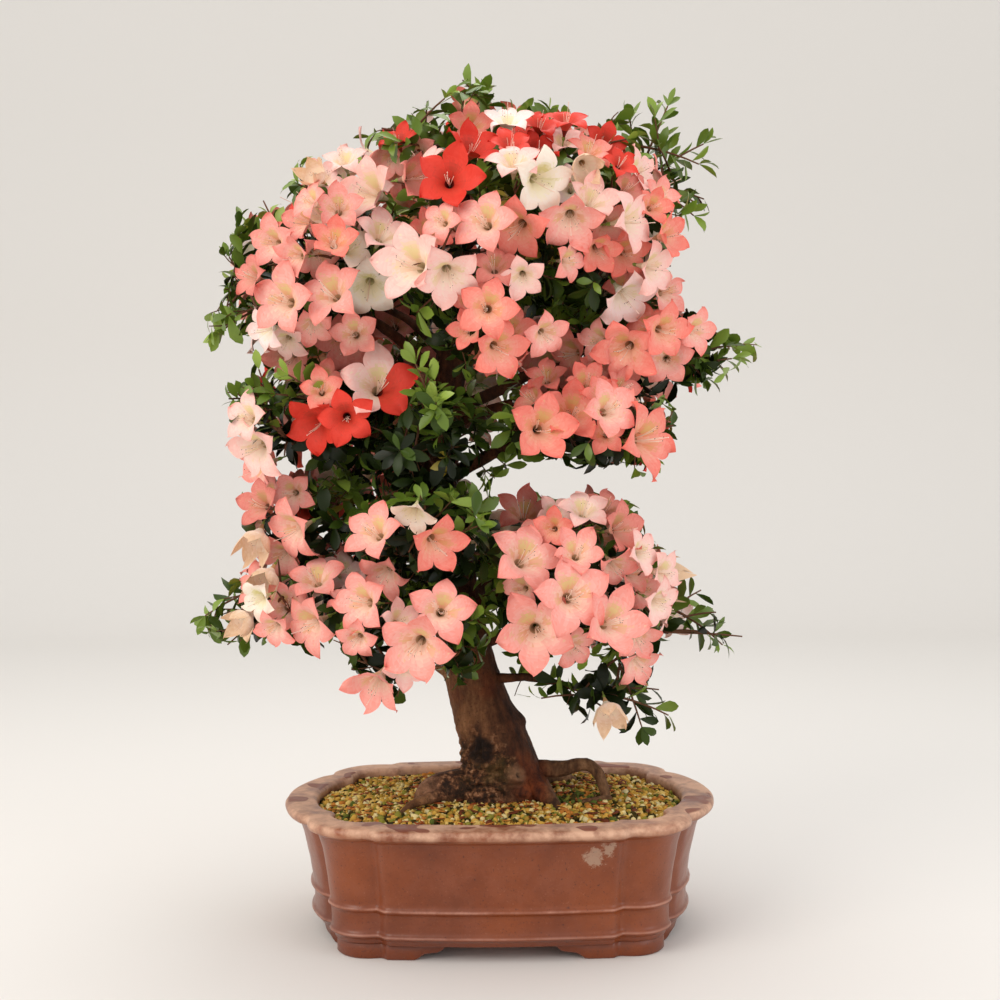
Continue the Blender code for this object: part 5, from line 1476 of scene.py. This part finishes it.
# Blooms that the picture shows: pixels across and down of the middle, the widest span in pixels, family,
# the look to the right and up beside one toward the camera, and how far behind the skin of the mass
Hero = namedtuple("Hero", "across down span family right up behind", defaults=(0.0,))
HEROES = [Hero(*row) for row in (
    (448, 177, 66, "red", 0.0, 0.1), (473, 144, 58, "red", 0.5, 0.8, 0.03),
    (482, 219, 62, "salmon", -0.3, 0.2), (515, 230, 64, "coral", -0.5, -0.7, 0.02),
    (513, 157, 54, "pale", 0.0, 1.0), (543, 182, 66, "cream", 0.7, -0.5),
    (570, 222, 64, "salmon", 0.0, -0.8), (593, 196, 56, "pale", 0.5, 0.7),
    (607, 222, 52, "salmon", 0.2, -0.2, 0.03), (635, 220, 62, "pale", 1.5, 0.0),
    (599, 251, 46, "coral", 0.3, -0.6, 0.02), (626, 253, 48, "coral", 0.3, -0.3, 0.02),
    (656, 268, 54, "pale", 1.2, -0.4), (670, 234, 48, "coral", 1.2, 0.1),
    (628, 300, 62, "blush", 0.8, -1.2), (626, 285, 48, "coral", 0.2, 0.4, 0.025),
    (624, 351, 64, "coral", -0.4, -0.5), (666, 331, 54, "coral", 0.5, -0.3),
    (668, 291, 46, "salmon", 0.7, 0.0, 0.01), (698, 330, 46, "salmon", 0.9, -0.2, 0.01),
    (595, 341, 46, "salmon", -1.2, -0.2), (551, 366, 66, "coral", 0.0, 0.0),
    (500, 349, 58, "coral", 0.5, -0.4), (509, 326, 50, "coral", 0.0, 0.5, 0.02),
    (487, 308, 58, "coral", 0.0, -0.1), (494, 263, 46, "shaded_coral", 0.0, 0.6, 0.03),
    (448, 278, 66, "pale", 0.2, -0.9), (408, 262, 76, "pale", -0.6, 0.1),
    (431, 230, 48, "coral", 0.7, 0.4, 0.035), (455, 222, 44, "shaded_coral", 0.0, 0.4, 0.03),
    (415, 176, 52, "shaded_coral", 1.2, 0.0), (507, 117, 48, "blush", 0.0, 1.3),
    (515, 132, 44, "red", -0.2, 1.4, 0.02), (540, 122, 42, "red", 0.3, 1.2, 0.02),
    (566, 116, 46, "red", 0.2, 1.5), (563, 138, 42, "pale", 0.2, 1.0, 0.02),
    (591, 146, 46, "coral", 0.4, 0.9), (584, 166, 42, "withered", 0.2, -0.6),
    (630, 186, 42, "shaded_coral", 0.8, 0.4, 0.02), (522, 278, 44, "pale", 0.0, -0.6, 0.02),
    (315, 175, 38, "withered", -0.5, 0.3), (343, 156, 44, "pale", -0.2, 1.0),
    (366, 189, 66, "pale", -0.8, 0.2), (306, 198, 42, "salmon", -0.9, 0.5),
    (299, 221, 46, "salmon", -1.0, 0.0, 0.01), (320, 213, 44, "pale", -0.2, 0.2, 0.015),
    (333, 238, 50, "coral", 0.1, 0.4), (293, 256, 44, "salmon", -0.8, -0.2, 0.01),
    (328, 289, 64, "salmon", -0.4, 0.4), (279, 300, 68, "salmon", -0.5, 0.0),
    (248, 275, 42, "shaded_coral", -1.0, 0.2, 0.01), (262, 330, 46, "blush", -1.0, -0.4),
    (285, 343, 40, "pale", -0.2, -0.8, 0.01), (352, 246, 48, "cream", 0.8, 0.3),
    (383, 230, 56, "pale", 0.5, 0.7, 0.01), (368, 290, 62, "cream", 0.0, -0.8, 0.015),
    (345, 344, 60, "shaded_coral", -0.2, -0.6, 0.02), (354, 333, 50, "salmon", 0.0, 0.0),
    (287, 361, 52, "shaded_coral", -0.4, -0.7, 0.02), (394, 323, 48, "shaded_coral", 0.0, 0.2, 0.02),
    (421, 367, 46, "shaded_coral", 0.0, -0.3, 0.03), (346, 418, 54, "red", 0.1, -0.2),
    (379, 383, 76, "two", 0.2, 0.3), (314, 426, 60, "red", -0.4, -0.5, 0.008),
    (396, 137, 38, "red", -0.3, 0.9), (621, 161, 36, "red", 0.4, 0.5), (243, 417, 50, "pale", -0.7, 0.2),
    (252, 450, 62, "pale", -0.7, -0.5), (543, 428, 68, "coral", 0.3, 0.0),
    (572, 410, 66, "coral", 0.1, 0.3, 0.015), (611, 408, 58, "salmon", 0.5, 0.2),
    (586, 379, 44, "coral", 0.0, 0.6, 0.01), (603, 393, 44, "coral", 0.3, 0.5, 0.02),
    (623, 387, 44, "shaded_coral", 0.8, 0.4, 0.02), (650, 437, 74, "coral", 1.0, 0.1),
    (523, 508, 56, "coral", 0.0, 1.1), (527, 554, 72, "salmon", 0.5, 0.6),
    (574, 595, 76, "salmon", 0.3, 0.2), (535, 632, 78, "salmon", 0.0, -0.1),
    (614, 620, 72, "salmon", 0.6, 0.3), (578, 550, 52, "salmon", 0.2, 0.6, 0.01),
    (584, 506, 50, "pale", 0.2, 1.1), (606, 504, 42, "shaded_coral", 0.4, 1.0, 0.01),
    (623, 528, 54, "shaded_coral", 1.0, 0.2), (644, 551, 44, "pale", 1.1, 0.3), (666, 572, 46, "pale", 1.2, 0.0),
    (661, 603, 48, "pale", 1.0, -0.4), (634, 570, 46, "salmon", 0.9, 0.4, 0.01),
    (646, 590, 42, "salmon", 0.8, 0.0, 0.02), (640, 665, 52, "salmon", 0.8, -0.9),
    (608, 712, 44, "withered", 0.2, -0.8), (438, 545, 62, "coral", 0.6, -0.5),
    (441, 610, 64, "salmon", 0.1, 0.2), (415, 648, 74, "salmon", -0.2, -0.3),
    (412, 516, 46, "cream", -0.3, -1.1), (371, 530, 60, "salmon", -0.5, 0.5),
    (289, 532, 62, "salmon", -1.1, -0.6), (258, 503, 48, "shaded_coral", -0.6, 0.3),
    (256, 540, 46, "withered", -0.3, -1.2), (266, 578, 44, "withered", -0.4, -0.9),
    (256, 600, 42, "cream", -0.8, -0.4), (243, 620, 42, "withered", -0.8, -0.8),
    (272, 630, 42, "salmon", -0.5, -0.7), (314, 575, 54, "salmon", -0.2, 0.9),
    (358, 602, 62, "salmon", -0.7, 0.1), (306, 626, 62, "salmon", -0.9, -0.4),
    (373, 687, 62, "salmon", -0.5, -0.9),
)]
# How much of a mass's half-size a line of sight meets, how much wider than its span a bloom is made, and what
# share of their radii blooms stand apart, each set back by steps until it does
HERO_REACH = 0.93
HERO_SCALE = 1.14
HERO_APART = 0.55
HERO_SEARCH, HERO_STEPS = 0.008, 6
# Nearer the camera than these no bloom's half-radius and no bloom's foremost point may come
FRONT_MOST, FRONT_FACE = -0.1885, -0.2070
# Fields of the picture that blooms cover almost wholly: their middle and half-sizes in pixels, how many more
# blooms are tried there, and how much of each family
Field = namedtuple("Field", "across down wide high count families")
SALMONS = (("salmon", 0.50), ("pale", 0.26), ("coral", 0.18), ("blush", 0.06))
CORALS = (("coral", 0.55), ("salmon", 0.30), ("shaded_coral", 0.15))
REDS = (("red", 0.55), ("coral", 0.15), ("pale", 0.20), ("salmon", 0.10))
FIELDS = [Field(*row) for row in (
    (314, 254, 46, 84, 15, SALMONS), (390, 205, 62, 58, 9, SALMONS), (470, 255, 60, 50, 8, CORALS),
    (540, 132, 76, 26, 14, REDS), (608, 215, 58, 62, 12, SALMONS), (655, 295, 40, 80, 11, CORALS),
    (595, 395, 70, 50, 8, CORALS), (592, 580, 84, 82, 20, SALMONS), (330, 360, 62, 36, 6, CORALS),
    (268, 555, 42, 84, 12, SALMONS), (350, 612, 56, 46, 6, SALMONS), (395, 660, 34, 34, 4, SALMONS),
    (505, 330, 42, 42, 4, CORALS),
)]
FIELD_SPAN = (44, 58)
FIELD_TRIES, FIELD_APART = 30, 0.62
FIELD_BEHIND = (0.006, 0.030)
BLOOM_RADIUS = (0.025, 0.032)
STALK = 1.14
FURTHER_FAMILIES = (
    ("salmon", 0.36), ("coral", 0.20), ("pale", 0.20), ("shaded_coral", 0.08), ("blush", 0.06), ("red", 0.04),
    ("withered", 0.06),
)
FURTHER_SHARE, FURTHER_TRIES, BLOOM_APART = 1.5, 900, 0.56
BLOOM_INSIDE = 0.72
BLOOM_SEAT = 0.004
BLOOM_ROLL = 0.35
# What a bloom hides, in its radii: how far round its axis, how low and how high, and how far in the picture,
# then how low and how high its funnel reaches
FACE_REACH, FACE_LOW, FACE_HIGH, FACE_SEEN = 0.84, -0.30, 1.5, 0.82
FUNNEL_LOW, FUNNEL_HIGH = -0.80, 0.05
# The pieces that the blooms are joined into, and the least height of each
BLOSSOM_FROM = {"blossom_top": 0.660, "blossom_upper": 0.575, "blossom_middle": 0.420, "blossom_lower": -1.0}

# A bloom: the middle of its mouth, where it looks, its radius, its family, whether the picture shows it, and
# the mass that it grows on
Bloom = namedtuple("Bloom", "place look radius family hero mass")


def sight_line(across_pixels, down_pixels):
    """The direction from the camera through a pixel, one unit ahead."""
    right = (across_pixels - IMAGE_MIDDLE) / FOCAL_PIXELS
    up = (IMAGE_MIDDLE - down_pixels) / FOCAL_PIXELS
    return SIGHT_AHEAD + right * SIGHT_RIGHT + up * SIGHT_UP


def first_mass(line):
    """The mass that a line of sight meets first and how far ahead, or the one that it passes closest to."""
    best, nearest = None, None
    for name, mass in MASSES.items():
        from_centre = (CAMERA - np.array(mass.centre)) / np.array(mass.half)
        way = line / np.array(mass.half)
        middle = -np.dot(from_centre, way) / np.dot(way, way)
        miss = np.linalg.norm(from_centre + middle * way)
        if miss < HERO_REACH:
            ahead = middle - math.sqrt((HERO_REACH**2 - miss**2) / np.dot(way, way))
            if best is None or ahead < best[1]:
                best = name, ahead
        if nearest is None or miss < nearest[2]:
            nearest = name, middle, miss
    return best or nearest[:2]


def hero_blooms():
    """The blooms that the picture shows, each set back until it stands clear of those before it."""
    found = []
    for hero in HEROES:
        line = sight_line(hero.across, hero.down)
        mass, ahead = first_mass(line)
        look = unit(-SIGHT_AHEAD + hero.right * SIGHT_RIGHT + hero.up * SIGHT_UP)
        ahead += hero.behind
        for _ in range(HERO_STEPS):
            place = CAMERA + line * ahead
            radius = HERO_SCALE * hero.span / 2 * ahead / FOCAL_PIXELS
            if stands_clear(place, radius, found, HERO_APART) and place[1] - radius / 2 > FRONT_MOST:
                break
            ahead += HERO_SEARCH
        found.append(Bloom(place, look, radius, hero.family, True, mass))
    return found


def stands_clear(place, radius, blooms, share):
    return all(np.linalg.norm(place - other.place) > share * (radius + other.radius) for other in blooms)


def field_blooms(blooms, seeded):
    """More blooms among those that the picture shows, a little behind them."""
    found = list(blooms)
    for field in FIELDS:
        names, weights = shares_of(field.families)
        for _ in range(field.count):
            for _ in range(FIELD_TRIES):
                turn, out = seeded.uniform(0, 2 * math.pi), math.sqrt(seeded.random())
                across_pixels = field.across + field.wide * out * math.cos(turn)
                line = sight_line(across_pixels, field.down + field.high * out * math.sin(turn))
                mass, ahead = first_mass(line)
                ahead += seeded.uniform(*FIELD_BEHIND)
                place, radius = CAMERA + line * ahead, seeded.uniform(*FIELD_SPAN) / 2 * ahead / FOCAL_PIXELS
                if stands_clear(place, radius, found, FIELD_APART) and not stands_over_sky(place, radius):
                    away = (place - np.array(MASSES[mass].centre)) / np.array(MASSES[mass].half)
                    look = unit(0.8 * away - 0.5 * SIGHT_AHEAD + seeded.normal(0, 0.30, 3))
                    found.append(Bloom(place, look, radius, str(seeded.choice(names, p=weights)), True, mass))
                    break
    return found


def further_blooms(blooms, seeded):
    """Blooms on the sides, the back and among the others, at the skin of each mass."""
    names, weights = shares_of(FURTHER_FAMILIES)
    found = list(blooms)
    for name, mass in MASSES.items():
        space, wanted = Space(name), round(FURTHER_SHARE * mass.blooms)
        for _ in range(FURTHER_TRIES):
            if not wanted:
                break
            way = unit(seeded.normal(size=3) + [0, 0, 0.25])
            place = space.centre + way * (space.half - BLOOM_SEAT)
            radius = seeded.uniform(*BLOOM_RADIUS)
            outward = unit((place - trunk_at(min(place[2], TRUNK[-1][2]))) * [1, 1, 0.6])
            faces_camera = np.dot(outward, -SIGHT_AHEAD) > 0.25 and mass.centre[1] < 0.06
            if not space.between_planes(place, -BLOOM_SEAT) or np.dot(way, outward) < 0.2 or faces_camera:
                continue
            if not stands_clear(place, radius, found, BLOOM_APART) or in_windows(place, LEAFY_WINDOWS)[0]:
                continue
            if stands_over_sky(place, radius):
                continue
            look = unit(outward + 0.5 * way + seeded.normal(0, 0.22, 3) + [0, 0, 0.10])
            found.append(Bloom(place, look, radius, str(seeded.choice(names, p=weights)), False, name))
            wanted -= 1
    return found


def bloom_base(bloom):
    """Where a bloom's stalk leaves its twig."""
    return bloom.place - bloom.look * bloom.radius * STALK


def petal_palette():
    """The finishes of every family's roles, then of the small parts."""
    finishes = []
    for name, family in FAMILIES.items():
        colours = [family.throat, family.inner]
        colours += [blend_colours(family.inner, family.petal, at / 3) for at in (1, 2, 3)]
        colours += [blend_colours(family.petal, family.edge, at / 3) for at in (1, 2, 3)]
        colours += [blend_colours(family.petal, family.blotch, share) for share in (0.30, 0.55)]
        colours.append(blend_colours(family.inner, family.blotch, 0.75))
        finishes += [plain(f"petal_{name}_{at}", colour, 0.55, 0.25) for at, colour in enumerate(colours)]
    finishes += [plain(f"bloom_part_{at}", colour, 0.5, 0.3) for at, colour in enumerate(SMALL_PARTS)]
    return finishes


# The degrees between which the lobes of the bloom of two colours are red
RED_FROM, RED_TO = -90, 54


def bloom_tones(template, family):
    """A bloom's tones in the whole palette. The bloom of two colours is pale, with red lobes on its right."""
    parts = len(FAMILIES) * ROLES + template.tones - ROLES
    first = FAMILY_NAMES.index("pale" if family == "two" else family) * ROLES + template.tones
    if family == "two":
        middle = template.points[template.faces].mean(axis=1)
        turn = np.degrees(np.arctan2(middle[:, 1], middle[:, 0]))
        right = FAMILY_NAMES.index("red") * ROLES + template.tones
        first = np.where((turn > RED_FROM) & (turn < RED_TO), right, first)
    return np.where(template.tones < ROLES, first, parts)


def make_blooms(blooms, seeded):
    """Every bloom, in pieces by height: those that the picture shows more finely than the others."""
    finishes = petal_palette()
    open_kinds = {
        make: [bloom_shape(seeded, make, opening) for opening in OPENINGS] for make in (FINE, PLAIN)
    }
    spent_kinds = [bloom_shape(seeded, PLAIN, withered=True) for _ in range(WITHERED_KINDS)]
    shapes = {name: [] for name in BLOSSOM_FROM}
    for bloom in blooms:
        kinds = spent_kinds if bloom.family == "withered" else open_kinds[FINE if bloom.hero else PLAIN]
        template = kinds[seeded.integers(len(kinds))]
        up = UP - bloom.look * np.dot(UP, bloom.look)
        roll = BLOOM_ROLL * seeded.normal() * (bloom.family != "two")
        up = unit(up + roll * np.cross(bloom.look, UP) + 1e-6)
        up = unit(up - bloom.look * np.dot(up, bloom.look))
        frame_rows = np.stack([np.cross(up, bloom.look), up, bloom.look]) * bloom.radius
        made = stamp(template, frame_rows[None], bloom.place[None])
        made.points[:, 1] += max(0.0, FRONT_FACE - POT[1] - made.points[:, 1].min())
        name = next(name for name, least in BLOSSOM_FROM.items() if bloom.place[2] > least)
        shapes[name].append(made._replace(tones=bloom_tones(template, bloom.family)))
    for name, parts in shapes.items():
        piece(name, join(parts), finishes, FOLIAGE_NODES)


# The crown's outline in the picture, sprays and all, in pixels across and down, and the gaps inside it
CROWN_OUTLINE = (
    (478, 68), (449, 86), (434, 98), (413, 108), (397, 118), (383, 130), (366, 132), (348, 130), (334, 144),
    (324, 153), (300, 154), (287, 180), (275, 191), (261, 202), (236, 212), (234, 230), (212, 253),
    (232, 264), (218, 298), (196, 330), (215, 350), (250, 350), (260, 372), (220, 386), (232, 404),
    (224, 424), (216, 460), (238, 492), (249, 500), (241, 524), (247, 552), (222, 577), (227, 590),
    (182, 618), (184, 624), (213, 646), (284, 643), (314, 656), (336, 640), (352, 672), (366, 704),
    (391, 712), (411, 699), (412, 684), (436, 669), (452, 692), (480, 684), (490, 652), (506, 695),
    (540, 699), (560, 692), (568, 708), (588, 722), (602, 740), (625, 722), (646, 744), (679, 727),
    (675, 710), (661, 697), (664, 656), (672, 634), (702, 643), (726, 653), (745, 641), (716, 611),
    (705, 588), (681, 580), (682, 568), (669, 549), (650, 537), (644, 510), (627, 500), (603, 491),
    (584, 487), (560, 497), (540, 491), (520, 486), (505, 497), (476, 483), (506, 478), (520, 466),
    (560, 458), (569, 471), (587, 476), (616, 466), (630, 479), (660, 480), (678, 440), (672, 394),
    (640, 388), (655, 378), (706, 389), (753, 362), (764, 349), (760, 332), (728, 331), (718, 334),
    (699, 311), (682, 305), (672, 289), (674, 276), (670, 253), (683, 239), (674, 226), (704, 226),
    (716, 207), (695, 197), (707, 174), (724, 156), (721, 129), (698, 132), (686, 149), (679, 125),
    (684, 104), (680, 82), (653, 95), (643, 131), (636, 104), (610, 111), (601, 129), (588, 121), (567, 94),
    (548, 94), (524, 98), (509, 95), (495, 98),
)
SKY_GAPS = (454, 428, 466, 460), (284, 449, 308, 459), (330, 500, 348, 518)
# Where the picture shows leaves alone at the crown's edge
LEAFY_WINDOWS = (
    (704, 290, 780, 410), (690, 560, 780, 680), (150, 180, 244, 352), (150, 596, 234, 700),
    (330, 40, 436, 132), (628, 40, 780, 170), (520, 655, 600, 740),
)


def in_windows(points, windows):
    """Which points the picture shows inside one of the windows."""
    x, y, _ = project(points)
    found = np.zeros(len(x), bool)
    for left, top, right, bottom in windows:
        found |= (x > left) & (x < right) & (y > top) & (y < bottom)
    return found


def in_sky(points):
    """Which points the picture shows outside the crown's outline or in a gap of it."""
    x, y, _ = project(points)
    inside = np.zeros(len(x), bool)
    for (left, top), (right, low) in zip(CROWN_OUTLINE, CROWN_OUTLINE[1:] + CROWN_OUTLINE[:1]):
        if top != low:
            level_with = (y < top) != (y < low)
            inside ^= level_with & (x < left + (y - top) * (right - left) / (low - top))
    return ~inside | in_windows(points, SKY_GAPS)


def stands_over_sky(place, radius):
    """Whether a bloom here would stand well out over the sky in the picture."""
    turns = ring_turns(8)[:, None]
    rim = place + BLOOM_INSIDE * radius * (np.cos(turns) * SIGHT_RIGHT + np.sin(turns) * SIGHT_UP)
    return bool(in_sky(rim).any())


def hides_a_bloom(places, blooms, only_inside=False):
    """Which places lie in a bloom's funnel, or over its face as it looks or as the picture sees it."""
    centres, looks = np.array([bloom.place for bloom in blooms]), np.array([bloom.look for bloom in blooms])
    radii, shown = np.array([bloom.radius for bloom in blooms]), np.array([bloom.hero for bloom in blooms])
    at_x, at_y, at_ahead = project(centres)
    covered = []
    for part in np.array_split(np.atleast_2d(places), len(np.atleast_2d(places)) // 2000 + 1):
        away = part[:, None] - centres[None]
        height = (away * looks).sum(axis=2)
        aside = np.sqrt(np.maximum((away * away).sum(axis=2) - height * height, 0))
        mouth = np.interp(height / radii, FUNNEL_HEIGHTS, FUNNEL_REACHES) * radii
        inside = (aside < mouth) & (height > FUNNEL_LOW * radii) & (height < FUNNEL_HIGH * radii)
        if only_inside:
            covered.append(inside.any(axis=1))
            continue
        over = (aside < FACE_REACH * radii) & (height > FACE_LOW * radii) & (height < FACE_HIGH * radii)
        x, y, ahead = (value[:, None] for value in project(part))
        span = radii * FOCAL_PIXELS / at_ahead
        over |= shown & (np.hypot(x - at_x, y - at_y) < FACE_SEEN * span) & (ahead < at_ahead + 0.3 * radii)
        covered.append(over.any(axis=1))
    return np.concatenate(covered)


def leafy_twig(leaves, twig, tone, seeded):
    """The leaves of one twig: a shoot's, those behind a bloom, or a tip's."""
    heading = unit(twig.path[-1] - twig.path[-2])
    leaves.before_blooms = twig.shoot
    if twig.shoot:
        leaves.on_shoot(twig.path, seeded, tone)
    elif twig.base:
        # Painted shade: the leaves behind a bloom are one tone darker
        leaves.along(twig.path, BLOOM_LEAFY_FROM, seeded, tone - 1)
        leaves.whorl(twig.path[-2], heading, seeded, tone - 1)
    else:
        leaves.whorl(twig.path[-1], heading, seeded, tone)
        leaves.along(twig.path, LEAFY_FROM, seeded, tone)


def side_twigs(leaves, path, shares, space, blooms, seeded, shade):
    """Short twigs that leave a longer one or a bough, each with its whorl of leaves."""
    runs = []
    leaves.before_blooms = False
    for share in shares:
        at = min(int(share * (len(path) - 1)), len(path) - 2)
        start, heading = path[at], unit(path[at + 1] - path[at])
        outward = unit((start - space.centre) / space.half)
        way = unit(heading + 0.8 * outward + seeded.normal(0, 0.75, 3))
        end = start + way * seeded.uniform(*TWIGLET_LENGTH)
        if hides_a_bloom(end, blooms)[0] or in_sky(end)[0]:
            continue
        runs.append(np.array([start, (start + end) / 2 + 0.001 * seeded.normal(size=3), end]))
        leaves.whorl(end, way, seeded, leaf_tone(space, end, seeded) - shade, TWIGLET_LEAVES)
    return runs


def shown_leaves(rows, blooms):
    """The leaves that stand in no bloom's funnel, over no bloom's face and in none of the picture's sky."""
    middles, ends = (rows[:, STALKS] + share * rows[:, WAYS] * rows[:, LENGTHS] for share in LEAF_MARKS)
    inside = hides_a_bloom(middles, blooms, True) | hides_a_bloom(ends, blooms, True)
    over = hides_a_bloom(middles, blooms) | hides_a_bloom(ends, blooms)
    out = over | in_sky(ends) | in_sky(rows[:, STALKS])
    return rows[~(inside | np.where(rows[:, BEFORE] > 0, in_sky(middles), out))]


def make_foliage(limbs, boughs, stems, blooms, seeded):
    """The twigs and the leaves of every mass and along its bough."""
    leaves, paths, twiglets = Leaves(), [], []
    for name, mass in MASSES.items():
        space = Space(name)
        tips = np.array(spread_tips(space, mass.tips, seeded))
        tips = tips[~(hides_a_bloom(tips, blooms) | in_sky(tips))]
        bases = [bloom_base(bloom) for bloom in blooms if bloom.mass == name]
        for twig in grow_twigs(space, stems[name], tips, bases, SHOOTS.get(name, ()), limbs, seeded):
            paths.append(twig.path)
            tone = leaf_tone(space, twig.path[-1], seeded) - SHADE[name] // (2 if twig.shoot else 1)
            leafy_twig(leaves, twig, tone, seeded)
            if not twig.base and name not in AIRY:
                twiglets += side_twigs(leaves, twig.path, TWIGLET_SHARES, space, blooms, seeded, SHADE[name])
        bough = evenly(boughs[name][0], SPUR_STEP)
        spurs = np.arange(SPUR_FROM, 1.0, 1 / len(bough))
        twiglets += side_twigs(leaves, bough, spurs, space, blooms, seeded, SHADE[name])
    stalks = [twig_tubes(paths, TWIG_START, TWIG_END, TWIG_SIDES), twig_tubes(twiglets, *TWIGLET)]
    return shown_leaves(np.array(leaves.rows), blooms), join(stalks)


def make_leaves(rows, seeded):
    """Every leaf, in pieces small enough to share."""
    finishes = [
        plain(f"leaf_{at}", colour, LEAF_ROUGHNESS, LEAF_SHINE[at >= DEEP_TONES])
        for at, colour in enumerate(LEAF_COLOURS)
    ]
    kinds = [leaf_shape(seeded) for _ in range(LEAF_KINDS)]
    rows = rows[np.argsort(rows[:, 2])]
    for name, part in zip(("leaves_lower", "leaves_upper"), np.array_split(rows, 2)):
        shapes = []
        kind = seeded.integers(0, LEAF_KINDS, len(part))
        for index, template in enumerate(kinds):
            mine = part[kind == index]
            along, face = mine[:, WAYS], mine[:, FACES]
            frames = np.stack([along, np.cross(face, along), face], axis=1) * mine[:, LENGTHS][:, None]
            made = stamp(template, frames, mine[:, STALKS])
            tones = np.clip(mine[:, TONES], 0, BRIGHTEST)
            tones = np.where(mine[:, TONES] > OLD_SPRAY / 2, OLD_LEAF, tones).astype(int)
            shapes.append(made._replace(tones=np.repeat(tones, len(template.faces))))
        piece(name, join(shapes), finishes, FOLIAGE_NODES)


# The floor, the light and the camera
FLOOR_NEAR, FLOOR_FAR, FLOOR_SIDE = -4.0, 2.2, 4.5
SWEEP_RADIUS, SWEEP_ROWS, WALL_TOP = 0.9, 24, 4.2
WORLD_COLOUR, WORLD_STRENGTH = "#F4F3F1", 0.96
CROWN_MIDDLE = (0.0, 0.0, 0.45)
# Each lamp's name, place, size in metres, power in watts and colour
LIGHTS = (
    ("key", (-1.5, -1.5, 1.7), 1.5, 24.0, "#FFF7EE"),
    ("fill", (1.7, -1.3, 0.9), 1.4, 8.0, "#F4F6FF"),
    ("top", (0.1, 0.5, 2.2), 1.2, 11.0, "#FFFFFF"),
)


def make_stage():
    """A pale floor that sweeps up into a wall behind."""
    bend = [
        (FLOOR_FAR + SWEEP_RADIUS * math.sin(turn), SWEEP_RADIUS * (1 - math.cos(turn)))
        for turn in np.linspace(0, math.pi / 2, SWEEP_ROWS)
    ]
    profile = np.array([(FLOOR_NEAR, 0.0), *bend, (FLOOR_FAR + SWEEP_RADIUS, WALL_TOP)])
    rows = [[(x, y, z) for x in (-FLOOR_SIDE, FLOOR_SIDE)] for y, z in profile]
    mesh = bpy.data.meshes.new("floor")
    points = np.array(rows).reshape(-1, 3)
    faces = [(2 * at, 2 * at + 1, 2 * at + 3, 2 * at + 2) for at in range(len(rows) - 1)]
    mesh.from_pydata(points.tolist(), [], faces)
    mesh.materials.append(plain("paper", "#E7E4E0", 0.9, 0.2))
    mesh.shade_smooth()
    add_object("floor", mesh)


def stand(thing, side, up, back, place):
    """Stands a thing at a place, its X, Y and Z along three directions."""
    thing.matrix_world = Matrix([*np.column_stack([side, up, back, place]).tolist(), [0, 0, 0, 1]])


def add_light(name, place, size, power, colour):
    """A square lamp that looks at the middle of the crown."""
    data = bpy.data.lights.new(name, "AREA")
    data.shape, data.size, data.energy, data.color = "SQUARE", size, power, linear(colour)
    place, target = np.array(place) + POT, np.array(CROWN_MIDDLE) + POT
    back = unit(place - target)
    stand(add_object(name, data), *across(back), back, place)


def make_camera():
    data = bpy.data.cameras.new("camera")
    data.lens, data.sensor_width, data.sensor_height = LENS, SENSOR, SENSOR
    data.clip_start, data.clip_end = 0.05, 50.0
    camera = add_object("camera", data)
    stand(camera, SIGHT_RIGHT, SIGHT_UP, -SIGHT_AHEAD, CAMERA + POT)
    bpy.context.scene.camera = camera


def light_the_stage():
    world = bpy.data.worlds.new("studio")
    world.use_nodes = True
    back = world.node_tree.nodes["Background"]
    back.inputs["Color"].default_value = (*linear(WORLD_COLOUR), 1.0)
    back.inputs["Strength"].default_value = WORLD_STRENGTH
    bpy.context.scene.world = world
    bpy.context.scene.view_settings.view_transform = "Standard"
    for light in LIGHTS:
        add_light(*light)


def main():
    make_camera()
    light_the_stage()
    make_stage()
    piece("pot_dressed", pot_shape(), [clay_finish()], ["pot"])
    make_soil()
    limbs, boughs, stems = plan_limbs()
    shapes = [trunk_shape()]
    for order, root in enumerate(ROOTS):
        run = smooth_stations(root, ROOT_STEPS)
        shapes.append(limb_shape(run[:, :3], run[:, 3] / 2, ROOT_SEED + LIMB_SEED_STEP * order))
    for order, (path, radii) in enumerate(boughs.values()):
        shapes.append(limb_shape(path, radii, BOUGH_SEED + LIMB_SEED_STEP * order))
    seeded = np.random.default_rng(SEED)
    blooms = further_blooms(field_blooms(hero_blooms(), seeded), seeded)
    rows, stalks = make_foliage(limbs, boughs, stems, blooms, seeded)
    bark = bark_finish()
    wood = ["trunk", "surface_root_right", "surface_root_left"]
    wood += ["bough_" + name for name, mass in MASSES.items() if mass.height is not None]
    piece("wood", join(shapes), [bark], wood)
    piece("twigs", stalks, [plain("twig_bark", "#6B4630", 0.75, 0.3)], FOLIAGE_NODES)
    make_leaves(rows, seeded)
    make_blooms(blooms, seeded)


main()
